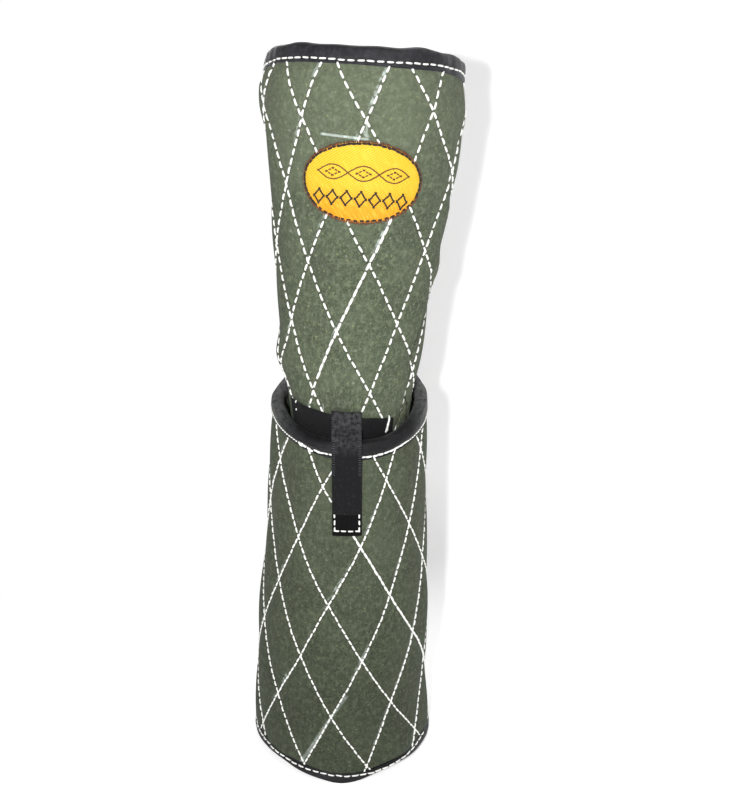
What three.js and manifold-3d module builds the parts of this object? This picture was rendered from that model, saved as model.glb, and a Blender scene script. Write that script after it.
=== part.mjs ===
// A padded bite sleeve in two tubes of quilted canvas. The narrow neck of the upper tube stands
// inside the mouth of the lower one. A webbing strap is sewn to the lower tube, runs over its
// bound mouth and under a cross band on the upper tube, and folds back down over itself.
// Millimetres, +Z up, the front looks along -Y.
import * as THREE from 'three';
import { mergeVertices } from 'three/addons/utils/BufferGeometryUtils.js';
import Module from 'manifold-3d';

const wasm = await Module();
wasm.setup();

// Driving dimensions
const lowerBottomWidth = 160;
const lowerMouthWidth = 127;
const lowerDepthShare = 1.05;
const lowerFrontHeight = 312;
const lowerMouthRise = 27;
const lowerMouthSkew = -2;
const lowerDrift = 8.2;

const upperFlareWidth = 155;
const upperDepthShare = 0.91;
const upperFrontHeight = 286;
const upperMouthRise = -7;
const upperMouthSkew = -4.5;
const upperDrift = 12.5;
const upperTail = 60;

const wall = 7;
const puffHeight = 2.4;
const seamGap = 0.5;
const pieceGap = 0.4;
const neckEase = 3.2;
const frontEase = 1.3;

const tapeThickness = 1.4;
const rollBulge = 1.4;
const rollHeight = 19;
const mouthTapeHeight = 12.5;
const bottomTapeHeight = 10;

const webbingThickness = 1.2;
const strapWidth = 24;
const strapOffset = -3.2;
const strapFootDrop = 82;
const strapFlapDrop = 63;
const bandWidth = 25;
const bandRise = 14;
const bandFallPerDegree = 0.125;
const bandLeftAngle = -65;
const bandRightAngle = 41;
const bandTurnRoom = 2;
const bandFlatBesideStrap = 1;
const bandRampLength = 8;

const patchLength = 91;
const patchHeight = 57;
const patchThickness = 1.4;
const patchDrop = 90;
const patchCentreAngle = -0.8;
const patchTilt = -4.8;
const patchFade = 0.3;

const lowerDiamondHeight = 51.5;
const lowerTopRowDrop = 42;
const lowerRowRise = 30.6;
const lowerRowSkew = 3;
const upperDiamondHeight = 51.7;
const upperTopRowDrop = 47;
const upperRowRise = 20.2;
const upperRowSkew = 1.8;
const gridHeadroom = 5;

// Heights that follow from them. The strap hangs from the lower mouth, the band stands above it,
// and the patch hangs from the upper mouth.
const upperMouthHeight = lowerFrontHeight + upperFrontHeight;
const upperFoot = lowerFrontHeight - upperTail;
const strapCentre = lowerDrift + strapOffset;
const strapFootHeight = lowerFrontHeight - strapFootDrop;
const strapFlapHeight = lowerFrontHeight - strapFlapDrop;
const bandHeight = lowerFrontHeight + bandRise;
const patchCentreHeight = upperMouthHeight - patchDrop;

// Sections of the two tubes. up: share of the tube's front height. taper: 0 at the first named
// width, 1 at the second. drift: share of the sideways lean of the tube's axis.
const lowerSections = [
  { up: -0.3, taper: 0.00, drift: 0.00 },
  { up: 0.06, taper: 0.00, drift: 0.00 },
  { up: 0.18, taper: 0.15, drift: -0.07 },
  { up: 0.38, taper: 0.26, drift: 0.26 },
  { up: 0.59, taper: 0.61, drift: 0.63 },
  { up: 0.79, taper: 0.79, drift: 0.84 },
  { up: 1.00, taper: 1.00, drift: 1.00 },
  { up: 1.25, taper: 1.25, drift: 1.19 },
];
const upperSections = [
  { up: -0.60, taper: -0.21, drift: 0.00 },
  { up: 0.00, taper: 0.00, drift: 0.00 },
  { up: 0.115, taper: 0.19, drift: 0.05 },
  { up: 0.24, taper: 0.32, drift: 0.18 },
  { up: 0.475, taper: 0.55, drift: 0.47 },
  { up: 0.71, taper: 0.79, drift: 0.83 },
  { up: 0.81, taper: 0.90, drift: 0.87 },
  { up: 0.87, taper: 1.00, drift: 0.88 },
  { up: 0.93, taper: 0.98, drift: 0.87 },
  { up: 1.00, taper: 0.87, drift: 1.00 },
  { up: 1.20, taper: 0.56, drift: 1.28 },
];

// Stitch lines of the diamond quilting: crossings lie in rows from topRow down, which rise to the
// back and to one side as the mouths do. Angles in degrees, twist for each row of crossings.
// phase: where the first line lies, as a share of a diamond. top and foot: the cloth's ends.
const lowerQuilt = {
  diamonds: 9,
  rowHeight: lowerDiamondHeight,
  topRow: lowerFrontHeight - lowerTopRowDrop,
  rise: lowerRowRise,
  skew: lowerRowSkew,
  firstAngle: 5.6,
  twist: 1.94,
  phase: 0.5,
  top: lowerFrontHeight,
  foot: 0,
};
const upperQuilt = {
  diamonds: 8,
  rowHeight: upperDiamondHeight,
  topRow: upperMouthHeight - upperTopRowDrop,
  rise: upperRowRise,
  skew: upperRowSkew,
  firstAngle: 1.2,
  twist: 3.15,
  phase: 0,
  top: upperMouthHeight,
  foot: upperFoot,
};
const stepsInDiamond = 6;
const stepsInRow = 3;
const stepsInsideDiamond = 4;

// Folds of the upper tube, pressed in (or, below zero, bulging out) around one spot. turn and
// turnReach are in degrees, up and reach shares of the tube's front height, depth of the wall.
const upperFolds = [
  { turn: 50, up: 0.14, turnReach: 8, reach: 0.091, depth: 0.65 },
  { turn: 61, up: 0.336, turnReach: 8, reach: 0.091, depth: 0.45 },
  { turn: 72, up: 0.115, turnReach: 8, reach: 0.077, depth: 0.35 },
  { turn: -90, up: 0.16, turnReach: 38, reach: 0.035, depth: -0.25 },
  { turn: 97, up: 0.154, turnReach: 24, reach: 0.035, depth: -0.25 },
];

// Shares that shape the sections of the tapes.
const bulgeShare = 0.45;
const crestShare = 0.3;
const innerLegShare = 0.7;
const innerSoleShare = 0.8;

const degrees = Math.PI / 180;
const fullTurn = 2 * Math.PI;

function mix(a, b, share) {
  return a + (b - a) * share;
}

function smoothStep(low, high, value) {
  const share = THREE.MathUtils.clamp((value - low) / (high - low), 0, 1);
  return share * share * (3 - 2 * share);
}

function readTable(rows, column, up) {
  const last = rows.findIndex((row, index) => index > 0 && (up <= row.up || index === rows.length - 1));
  const low = rows[last - 1];
  const high = rows[last];
  const share = THREE.MathUtils.clamp((up - low.up) / (high.up - low.up), 0, 1);
  return mix(low[column], high[column], share);
}

// A tube's section planes tilt evenly from its foot to its mouth.
const lowerTube = {
  foot: 0,
  span: lowerFrontHeight,
  footRise: 0,
  mouthRise: lowerMouthRise,
  footSkew: 0,
  mouthSkew: lowerMouthSkew,
  halfWidths: [lowerBottomWidth / 2, lowerMouthWidth / 2],
  depthShare: lowerDepthShare,
  centreX: 0,
  centreY: 0,
  drift: lowerDrift,
  sections: lowerSections,
  folds: [],
  quilt: lowerQuilt,
};

const boundWall = wall + seamGap + tapeThickness;
const neckHalfWidth = lowerMouthWidth / 2 - boundWall - neckEase;
const layer = webbingThickness + pieceGap;
const liftUnderBand = 2 * pieceGap + webbingThickness / 2;
const liftOfBand = liftUnderBand + layer;
const liftBeforeBand = liftOfBand + layer;
const lowerInsideFront = lowerDepthShare * lowerMouthWidth / 2 - boundWall;
const upperFront = lowerInsideFront - frontEase - layer + webbingThickness / 2 - liftBeforeBand;

const upperTube = {
  foot: lowerFrontHeight,
  span: upperFrontHeight,
  footRise: lowerMouthRise,
  mouthRise: upperMouthRise,
  footSkew: lowerMouthSkew,
  mouthSkew: upperMouthSkew,
  halfWidths: [neckHalfWidth, upperFlareWidth / 2],
  depthShare: upperDepthShare,
  centreX: lowerDrift,
  centreY: upperDepthShare * neckHalfWidth - upperFront,
  drift: upperDrift,
  sections: upperSections,
  folds: upperFolds,
  quilt: upperQuilt,
};

// Share of the tube's front height of the tilted section that passes through a point.
function sectionShare(tube, turn, z) {
  const back = 1 - Math.cos(turn);
  const side = Math.sin(turn);
  const start = tube.foot + tube.footRise * back + tube.footSkew * side;
  const rise = (tube.mouthRise - tube.footRise) * back;
  const skew = (tube.mouthSkew - tube.footSkew) * side;
  return (z - start) / (tube.span + rise + skew);
}

function sectionHeight(tube, turn, up) {
  const back = 1 - Math.cos(turn);
  const side = Math.sin(turn);
  const rise = mix(tube.footRise, tube.mouthRise, up) * back;
  const skew = mix(tube.footSkew, tube.mouthSkew, up) * side;
  return tube.foot + tube.span * up + rise + skew;
}

function foldDepth(tube, turn, z) {
  return tube.folds.reduce((sum, fold) => {
    const across = (turn / degrees - fold.turn) / fold.turnReach;
    const along = (z - tube.foot - tube.span * fold.up) / (tube.span * fold.reach);
    return sum + wall * fold.depth * Math.exp(-across * across - along * along);
  }, 0);
}

// A point of the tube at a turn from the front (right side positive) and a height, pushed out
// from the outer face by a distance.
function tubePoint(tube, turn, z, out = 0) {
  const up = sectionShare(tube, turn, z);
  const halfWidth = mix(...tube.halfWidths, readTable(tube.sections, 'taper', up));
  const centre = tube.centreX + tube.drift * readTable(tube.sections, 'drift', up);
  const reach = halfWidth + out - foldDepth(tube, turn, z);
  const reachDeep = halfWidth * tube.depthShare + out - foldDepth(tube, turn, z);
  return new THREE.Vector3(
    centre + reach * Math.sin(turn),
    tube.centreY - reachDeep * Math.cos(turn),
    z,
  );
}

// The mouth of a tube is cut by one tilted plane: its height at a point, and its normal.
function mouthPlane(tube) {
  const halfWidth = mix(...tube.halfWidths, readTable(tube.sections, 'taper', 1));
  const centre = tube.centreX + tube.drift * readTable(tube.sections, 'drift', 1);
  const slopeX = tube.mouthSkew / halfWidth;
  const slopeY = tube.mouthRise / (halfWidth * tube.depthShare);
  const height = tube.foot + tube.span + tube.mouthRise;
  const heightAt = (point) => height + slopeX * (point.x - centre) + slopeY * (point.y - tube.centreY);
  const normal = new THREE.Vector3(-slopeX, -slopeY, 1).normalize();
  const onPlane = new THREE.Vector3(centre, tube.centreY, height);
  return { heightAt, slopeY, normal, offset: normal.dot(onPlane) };
}

// The point of the tube that lies a given way up from the plane of a cut, found in a few rounds.
function pointAtCut(tube, turn, edgeHeightAt, out = 0, up = 0) {
  const rounds = 8;
  let point = tubePoint(tube, turn, tube.foot + tube.span, out);
  for (let round = 0; round < rounds; round += 1) {
    point = tubePoint(tube, turn, edgeHeightAt(point) + up, out);
  }
  return point;
}

function mouthHeight(tube, turn) {
  return pointAtCut(tube, turn, mouthPlane(tube).heightAt).z;
}

// How far the padding may puff: not under the bindings, the patch and the strap, nor within one
// step of the grid from them.
function puffRoom(tube, turn, z) {
  const point = tubePoint(tube, turn, z);
  const step = tube.quilt.rowHeight / stepsInRow;
  const front = point.y < tube.centreY;
  if (tube === lowerTube) {
    const fromTop = mouthHeight(tube, turn) - rollHeight - z;
    const fromBottom = z - bottomTapeHeight;
    const beside = Math.abs(point.x - strapCentre) - strapWidth / 2;
    const below = strapFootHeight - z;
    const underStrap = front ? smoothStep(step / 2, step, Math.max(beside, below)) : 1;
    return smoothStep(step, 2 * step, fromTop) * smoothStep(step, 2 * step, fromBottom) * underStrap;
  }
  const fromMouth = mouthHeight(tube, turn) - mouthTapeHeight - z;
  const aboveBand = z - bandHeight;
  const across = Math.abs(point.x - patchCentre.x) / (patchLength / 2 + step / 2);
  const along = Math.abs(z - patchCentreHeight) / (patchHeight / 2 + step);
  const fromPatch = front ? smoothStep(1, 1 + patchFade, Math.hypot(across, along)) : 1;
  return smoothStep(step, 2 * step, fromMouth) * smoothStep(step, 2 * step, aboveBand) * fromPatch;
}

const patchCentre = tubePoint(upperTube, patchCentreAngle * degrees, patchCentreHeight);

// The padded outer face with its diamonds, as a grid whose diagonals follow the stitch lines.
function quiltedFace(tube) {
  const { quilt } = tube;
  const columns = quilt.diamonds * stepsInDiamond;
  const rowStep = quilt.rowHeight / stepsInRow;
  const firstStep = -Math.ceil((quilt.top - quilt.topRow + gridHeadroom) / rowStep);
  const lastStep = Math.ceil((quilt.topRow + 2 * quilt.rise - quilt.foot + gridHeadroom) / rowStep);
  const rows = [];
  for (let step = firstStep; step <= lastStep; step += 1) {
    const row = [];
    const k = step / stepsInRow;
    for (let column = 0; column < columns; column += 1) {
      const share = column / stepsInDiamond;
      const lineA = Math.abs(Math.sin(Math.PI * (share + k / 2 - quilt.phase)));
      const lineB = Math.abs(Math.sin(Math.PI * (share - k / 2 - quilt.phase)));
      const turn = (quilt.firstAngle + quilt.twist * k) * degrees + share * fullTurn / quilt.diamonds;
      const tilt = quilt.rise * (1 - Math.cos(turn)) + quilt.skew * Math.sin(turn);
      const z = quilt.topRow - quilt.rowHeight * k + tilt;
      const nearTurn = Math.atan2(Math.sin(turn), Math.cos(turn));
      const puff = puffHeight * Math.sqrt(lineA * lineB) * puffRoom(tube, nearTurn, z);
      row.push(tubePoint(tube, nearTurn, z, puff));
    }
    rows.push(row);
  }
  const linePhase = quilt.phase * stepsInDiamond;
  const onLine = (steps) => THREE.MathUtils.euclideanModulo(steps - linePhase, stepsInDiamond) === 0;
  const rowSteps = (row) => (row + firstStep) * stepsInDiamond / (2 * stepsInRow);
  const fallsRight = (column, row) => {
    const down = rowSteps(row);
    return onLine(column - down) || (!onLine(column + 1 + down) && (column + row) % 2 === 0);
  };
  return { rows, fallsRight };
}

// The plain inner face, one wall thickness in: one ring for each section of the table.
function innerFace(tube) {
  const columns = tube.quilt.diamonds * stepsInsideDiamond;
  const rows = [...tube.sections].reverse().map(({ up }) => (
    Array.from({ length: columns }, (_, column) => {
      const turn = -Math.PI + column * fullTurn / columns;
      return tubePoint(tube, turn, sectionHeight(tube, turn, up), -wall);
    })
  ));
  return { rows, fallsRight: () => true };
}

// Closed solid from rows of points, top row first, each row a ring seen from above turning right.
function solidFromRings({ rows, fallsRight }) {
  const columns = rows[0].length;
  const vertices = rows.flat().flatMap((point) => point.toArray());
  const triangles = [];
  for (let row = 0; row < rows.length - 1; row += 1) {
    for (let column = 0; column < columns; column += 1) {
      const next = (column + 1) % columns;
      const a = row * columns + column;
      const b = row * columns + next;
      const c = a + columns;
      const d = b + columns;
      if (fallsRight(column, row)) triangles.push(a, c, d, a, d, b);
      else triangles.push(a, c, b, b, c, d);
    }
  }
  for (const row of [0, rows.length - 1]) {
    const middle = rows[row].reduce((sum, point) => sum.add(point), new THREE.Vector3());
    middle.divideScalar(columns);
    const hub = vertices.length / 3;
    vertices.push(...middle.toArray());
    for (let column = 0; column < columns; column += 1) {
      const here = row * columns + column;
      const next = row * columns + (column + 1) % columns;
      if (row === 0) triangles.push(hub, here, next);
      else triangles.push(hub, next, here);
    }
  }
  return manifoldFrom(vertices, triangles);
}

function manifoldFrom(vertices, triangles) {
  return new wasm.Manifold(new wasm.Mesh({
    numProp: 3,
    vertProperties: new Float32Array(vertices),
    triVerts: new Uint32Array(triangles),
  }));
}

function geometryFromManifold(solid) {
  const mesh = solid.getMesh();
  const geometry = new THREE.BufferGeometry();
  geometry.setAttribute('position', new THREE.BufferAttribute(new Float32Array(mesh.vertProperties), 3));
  geometry.setIndex(new THREE.BufferAttribute(new Uint32Array(mesh.triVerts), 1));
  return geometry;
}

// A padded tube, open at both ends: the quilted solid less the hollow, cut to its ends.
function sleeveGeometry(tube, lowest) {
  const outer = solidFromRings(quiltedFace(tube));
  const hollow = solidFromRings(innerFace(tube));
  const plane = mouthPlane(tube);
  const down = plane.normal.clone().negate().toArray();
  const cut = outer.subtract(hollow)
    .trimByPlane([0, 0, 1], lowest)
    .trimByPlane(down, -plane.offset);
  return geometryFromManifold(cut);
}

// Closed grid of rings that join end to end, such as a binding swept once round a tube.
function closedGrid(rings, loops) {
  const size = rings[0].length;
  const vertices = rings.flat().flatMap((point) => point.toArray());
  const triangles = [];
  const ringCount = loops ? rings.length : rings.length - 1;
  for (let ring = 0; ring < ringCount; ring += 1) {
    const after = (ring + 1) % rings.length;
    for (let side = 0; side < size; side += 1) {
      const next = (side + 1) % size;
      const a = ring * size + side;
      const b = ring * size + next;
      const c = after * size + side;
      const d = after * size + next;
      triangles.push(a, d, b, a, c, d);
    }
  }
  if (!loops) {
    const end = (rings.length - 1) * size;
    const half = size / 2;
    for (let side = 0; side < half - 1; side += 1) {
      const far = size - 1 - side;
      triangles.push(side, far - 1, far, side, side + 1, far - 1);
      triangles.push(end + side, end + far, end + far - 1, end + side, end + far - 1, end + side + 1);
    }
  }
  const geometry = new THREE.BufferGeometry();
  geometry.setAttribute('position', new THREE.Float32BufferAttribute(vertices, 3));
  geometry.setIndex(triangles);
  return mergeVertices(geometry);
}

// A folded tape round an edge. profile lists out (from the tube's outer face) and up (from the
// plane of the cut edge), in order round the tape's section.
function bindingGeometry(tube, edgeHeightAt, profile) {
  const columns = tube.quilt.diamonds * stepsInDiamond;
  const rings = Array.from({ length: columns }, (_, column) => {
    const turn = -Math.PI + column * fullTurn / columns;
    return profile.map(({ out, up }) => pointAtCut(tube, turn, edgeHeightAt, out, up));
  });
  return closedGrid(rings, true);
}

// The section of a tape that wraps an edge: outer leg, crest and inner leg round a groove.
function tapeProfile(legHeight, bulge) {
  const outer = seamGap + tapeThickness;
  const inner = -wall - outer;
  return [
    { out: outer, up: -legHeight },
    { out: outer + bulge, up: -legHeight * bulgeShare },
    { out: outer, up: 0 },
    { out: -wall * crestShare, up: outer + bulge },
    { out: -wall * (1 - crestShare), up: outer + bulge },
    { out: inner, up: 0 },
    { out: inner, up: -legHeight * innerLegShare },
    { out: -wall - seamGap, up: -legHeight * innerLegShare },
    { out: -wall - seamGap, up: seamGap },
    { out: seamGap, up: seamGap },
    { out: seamGap, up: -legHeight },
  ];
}

// The bottom tape is flat under the wall, so that the sleeve stands on it.
function soleProfile() {
  const outer = seamGap + tapeThickness;
  const inner = -wall - outer;
  const bevel = tapeThickness / 2;
  return [
    { out: outer, up: bottomTapeHeight - outer },
    { out: seamGap, up: bottomTapeHeight - outer },
    { out: seamGap, up: -seamGap },
    { out: -wall - seamGap, up: -seamGap },
    { out: -wall - seamGap, up: bottomTapeHeight * innerSoleShare - outer },
    { out: inner, up: bottomTapeHeight * innerSoleShare - outer },
    { out: inner, up: bevel - outer },
    { out: -wall - seamGap, up: -outer },
    { out: seamGap, up: -outer },
    { out: outer, up: bevel - outer },
  ];
}

// A flat strip of webbing along a path of (y, z) points, its middle line before the tube's
// front. Across its breadth it follows the curve of the tube, and of the rim that it crosses.
function webbingGeometry(path, tube) {
  const spans = 3;
  const edge = mouthHeight(tube, 0);
  const spotOf = (x, z) => {
    const height = Math.min(z, edge);
    const front = tubePoint(tube, 0, height);
    const reach = tubePoint(tube, Math.PI / 2, height).x - front.x;
    const turn = Math.asin((x - front.x) / reach);
    const overRim = smoothStep(edge - rollHeight, edge, z);
    return {
      back: tubePoint(tube, turn, height).y - front.y,
      up: overRim * (mouthHeight(tube, turn) - edge),
    };
  };
  const rings = path.map((point, index) => {
    const before = path[Math.max(0, index - 1)];
    const after = path[Math.min(path.length - 1, index + 1)];
    const along = new THREE.Vector2().subVectors(after, before).normalize();
    const normal = new THREE.Vector2(-along.y, along.x).multiplyScalar(webbingThickness / 2);
    const row = (sign) => Array.from({ length: spans + 1 }, (_, column) => {
      const x = strapCentre + strapWidth * (column / spans - 0.5);
      const { back, up } = spotOf(x, point.y);
      return new THREE.Vector3(x, point.x + sign * normal.x + back, point.y + sign * normal.y + up);
    });
    return [...row(-1), ...row(1).reverse()];
  });
  return closedGrid(rings, false);
}

// Points on an arc of an oval, which may reach further in front of its centre than behind it,
// and leans by a slope.
function arc(centre, reach, fromDegrees, toDegrees, steps) {
  return Array.from({ length: steps + 1 }, (_, step) => {
    const angle = mix(fromDegrees, toDegrees, step / steps) * degrees;
    const across = Math.cos(angle) * (Math.cos(angle) < 0 ? reach.front : reach.back);
    const up = reach.up * Math.sin(angle) + reach.slope * across;
    return new THREE.Vector2(centre.x + across, centre.y + up);
  });
}

// The strap's middle line, as (y, z): up the lower tube, over its bound mouth, down inside,
// under the cross band, up behind it, over its top edge and back down over itself.
function strapPath() {
  const lowerFace = (z, out) => new THREE.Vector2(tubePoint(lowerTube, 0, z, out).y, z);
  const upperFace = (z, out) => new THREE.Vector2(tubePoint(upperTube, 0, z, out).y, z);
  const firstLayer = seamGap + webbingThickness / 2;
  const edge = mouthHeight(lowerTube, 0);
  const bound = seamGap + tapeThickness;
  const roll = bound + rollBulge;
  const rollFoot = edge - rollHeight;
  const middle = pointAtCut(lowerTube, 0, mouthPlane(lowerTube).heightAt, -wall / 2, 0);
  const rollMiddle = new THREE.Vector2(middle.y, middle.z);
  const aroundRoll = (lift) => ({
    front: wall / 2 + roll + firstLayer + lift,
    back: wall / 2 + bound + firstLayer + lift + frontEase / 2,
    up: roll + firstLayer + lift,
    slope: mouthPlane(lowerTube).slopeY,
  });
  const bandTurn = { front: layer, back: layer, up: layer, slope: 0 };
  const bandTop = bandHeight + bandTurnRoom;
  const bandFoot = bandHeight - bandWidth - bandTurnRoom;
  const rampFoot = 10;
  const rampTop = 3;
  const insideEdge = 5;
  const upTheLower = (lift) => [
    lowerFace(mix(strapFlapHeight, rollFoot, 0.5), firstLayer + lift),
    lowerFace(rollFoot - rampFoot, firstLayer + lift),
    lowerFace(rollFoot - rampTop, roll + firstLayer + lift),
    lowerFace(edge - rollHeight * bulgeShare, roll + firstLayer + lift),
  ];
  const behindBand = [0.2, 0.45, 0.55, 0.8].map((share) => (
    upperFace(mix(bandFoot, bandTop, share), liftUnderBand)
  ));
  return [
    lowerFace(strapFootHeight, firstLayer),
    lowerFace(strapFlapHeight, firstLayer),
    ...upTheLower(0),
    ...arc(rollMiddle, aroundRoll(0), 180, 15, 8),
    upperFace(edge - insideEdge, liftBeforeBand),
    ...arc(upperFace(bandFoot, liftOfBand), bandTurn, 180, 360, 6),
    ...behindBand,
    ...arc(upperFace(bandTop, liftOfBand), bandTurn, 0, 180, 6),
    ...arc(rollMiddle, aroundRoll(layer), 75, 180, 7),
    ...upTheLower(layer).reverse(),
    lowerFace(strapFlapHeight, firstLayer + layer),
  ];
}

// The cross band: sewn flat at both ends, lifted over the strap in the middle.
function bandGeometry() {
  const steps = 24;
  const levels = 3;
  const rings = Array.from({ length: steps + 1 }, (_, step) => {
    const turnDegrees = mix(bandLeftAngle, bandRightAngle, step / steps);
    const turn = turnDegrees * degrees;
    const top = bandHeight - bandFallPerDegree * turnDegrees;
    const besideStrap = Math.abs(tubePoint(upperTube, turn, top).x - strapCentre) - strapWidth / 2;
    const overStrap = 1 - smoothStep(bandFlatBesideStrap, bandFlatBesideStrap + bandRampLength, besideStrap);
    const lift = mix(liftUnderBand, liftOfBand, overStrap);
    const column = (sign) => Array.from({ length: levels + 1 }, (_, level) => {
      const z = top - bandWidth * level / levels;
      return tubePoint(upperTube, turn, z, lift + sign * webbingThickness / 2);
    });
    return [...column(-1), ...column(1).reverse()];
  });
  return closedGrid(rings, false);
}

// The oval patch, bent to the tube.
function patchGeometry() {
  const around = 24;
  const rings = [1, 0.8, 0.6, 0.4, 0.2];
  const tilt = patchTilt * degrees;
  const halfWidth = (patchCentre.x - tubePoint(upperTube, -Math.PI / 2, patchCentreHeight).x);
  const spot = (share, index, out) => {
    const angle = index * fullTurn / around;
    const along = share * Math.cos(angle) * patchLength / 2;
    const up = share * Math.sin(angle) * patchHeight / 2;
    const across = along * Math.cos(tilt) - up * Math.sin(tilt);
    const z = patchCentreHeight + along * Math.sin(tilt) + up * Math.cos(tilt);
    return tubePoint(upperTube, patchCentreAngle * degrees + across / halfWidth, z, out);
  };
  const vertices = [];
  const triangles = [];
  const faces = [seamGap + patchThickness, seamGap];
  faces.forEach((out, face) => {
    const base = vertices.length / 3;
    rings.forEach((share) => {
      for (let index = 0; index < around; index += 1) {
        vertices.push(...spot(share, index, out).toArray());
      }
    });
    vertices.push(...spot(0, 0, out).toArray());
    const hub = base + rings.length * around;
    for (let index = 0; index < around; index += 1) {
      const next = (index + 1) % around;
      const faceTriangles = [];
      for (let ring = 0; ring < rings.length - 1; ring += 1) {
        const a = base + ring * around + index;
        const b = base + ring * around + next;
        faceTriangles.push([a, b, b + around], [a, b + around, a + around]);
      }
      const inner = base + (rings.length - 1) * around;
      faceTriangles.push([inner + index, inner + next, hub]);
      for (const [a, b, c] of faceTriangles) {
        if (face === 0) triangles.push(a, b, c);
        else triangles.push(a, c, b);
      }
    }
  });
  const under = rings.length * around + 1;
  for (let index = 0; index < around; index += 1) {
    const next = (index + 1) % around;
    triangles.push(index, under + index, under + next, index, under + next, next);
  }
  const geometry = new THREE.BufferGeometry();
  geometry.setAttribute('position', new THREE.Float32BufferAttribute(vertices, 3));
  geometry.setIndex(triangles);
  return geometry;
}

const canvas = new THREE.MeshStandardMaterial({ color: 0x4f5a45, roughness: 0.95, metalness: 0 });
const blackTape = new THREE.MeshStandardMaterial({ color: 0x1b1b1d, roughness: 0.7, metalness: 0 });
const webbing = new THREE.MeshStandardMaterial({ color: 0x232325, roughness: 0.75, metalness: 0 });
const twill = new THREE.MeshStandardMaterial({ color: 0xe29a1e, roughness: 0.65, metalness: 0 });

const object = new THREE.Group();

function addPiece(name, geometry, material) {
  const mesh = new THREE.Mesh(geometry, material);
  mesh.name = name;
  object.add(mesh);
}

const soleHeight = seamGap + tapeThickness;
const lowerMouth = mouthPlane(lowerTube).heightAt;
const upperMouth = mouthPlane(upperTube).heightAt;
const sole = () => soleHeight;
const rollProfile = tapeProfile(rollHeight, rollBulge);
const mouthProfile = tapeProfile(mouthTapeHeight, rollBulge / 3);

addPiece('lower_sleeve', sleeveGeometry(lowerTube, soleHeight), canvas);
addPiece('lower_bottom_binding', bindingGeometry(lowerTube, sole, soleProfile()), blackTape);
addPiece('lower_mouth_binding', bindingGeometry(lowerTube, lowerMouth, rollProfile), blackTape);
addPiece('upper_sleeve', sleeveGeometry(upperTube, upperFoot), canvas);
addPiece('upper_mouth_binding', bindingGeometry(upperTube, upperMouth, mouthProfile), blackTape);
addPiece('cross_band', bandGeometry(), webbing);
addPiece('link_strap', webbingGeometry(strapPath(), lowerTube), webbing);
addPiece('oval_patch', patchGeometry(), twill);

// The origin is under the middle of the whole sleeve.
object.updateMatrixWorld(true);
const box = new THREE.Box3().setFromObject(object, true);
const middle = box.getCenter(new THREE.Vector3());
object.position.set(-middle.x, -middle.y, -box.min.z);
object.updateMatrixWorld(true);

export default object;
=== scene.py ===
# %% [markdown]
# # A padded bite sleeve, piece by piece
# The real sleeve is two padded tubes of olive canvas. The narrow neck of the upper one stands in
# the mouth of the lower one, and a webbing strap links them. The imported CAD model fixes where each
# piece is; this script gives each piece its cloth, thread and tape around that frame.

import math

import bpy
import numpy as np
from mathutils import Matrix, Vector
from mathutils.bvhtree import BVHTree


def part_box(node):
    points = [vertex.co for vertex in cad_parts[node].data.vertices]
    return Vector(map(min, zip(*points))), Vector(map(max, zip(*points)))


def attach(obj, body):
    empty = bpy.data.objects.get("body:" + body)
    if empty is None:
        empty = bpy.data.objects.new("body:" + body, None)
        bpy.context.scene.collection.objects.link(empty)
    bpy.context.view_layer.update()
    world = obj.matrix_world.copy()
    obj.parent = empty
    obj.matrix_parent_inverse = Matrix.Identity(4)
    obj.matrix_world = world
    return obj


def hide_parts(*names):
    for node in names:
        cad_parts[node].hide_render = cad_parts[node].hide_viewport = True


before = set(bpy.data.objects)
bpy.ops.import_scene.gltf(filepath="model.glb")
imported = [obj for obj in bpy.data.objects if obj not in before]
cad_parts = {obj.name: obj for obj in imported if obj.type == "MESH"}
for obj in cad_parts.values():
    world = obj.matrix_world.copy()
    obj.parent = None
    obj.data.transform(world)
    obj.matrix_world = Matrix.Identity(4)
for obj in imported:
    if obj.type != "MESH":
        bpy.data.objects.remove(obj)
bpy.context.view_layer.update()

# %% [markdown]
# ## Sizes
# Every size is in metres. The driving sizes are those of the CAD model; the tubes' places come from
# the frame: the sleeve stands on its bottom binding, so the middle of that node's box is the lower
# tube's axis at the floor.

# %% Sizes
mm = 0.001
degree = math.pi / 180
full_turn = 2 * math.pi

sole_low, sole_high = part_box("lower_bottom_binding")
axis_x = (sole_low.x + sole_high.x) / 2

lower_bottom_width = 160 * mm
lower_mouth_width = 127 * mm
lower_depth_share = 1.05
lower_front_height = 312 * mm
lower_mouth_rise = 27 * mm
lower_mouth_skew = -2 * mm
lower_drift = 8.2 * mm

upper_flare_width = 155 * mm
upper_depth_share = 0.91
upper_front_height = 286 * mm
upper_mouth_rise = -7 * mm
upper_mouth_skew = -4.5 * mm
upper_drift = 12.5 * mm
upper_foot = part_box("upper_sleeve")[0].z
upper_mouth_height = lower_front_height + upper_front_height

wall = 7 * mm
seam_gap = 0.5 * mm
piece_gap = 0.4 * mm
neck_ease = 3.2 * mm
front_ease = 1.3 * mm
tape_thickness = 1.4 * mm
roll_bulge = 1.4 * mm
roll_height = 19 * mm
roll_seam_drop = 16.2 * mm
mouth_tape_height = 12.5 * mm
mouth_seam_drop = 7.2 * mm
webbing_thickness = 1.2 * mm
print("tube axis at x =", round(axis_x, 4), "upper tube's foot at z =", round(upper_foot, 4))

# %% [markdown]
# ## The two tubes as a rule
# Both tubes lean and flare, and their section planes tilt from a level foot to a slanting mouth.
# One class holds that rule. Everything sewn to a tube asks it for a point at a turn from the front
# and a height, pushed out by a distance, so that nothing floats or sinks.

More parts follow.
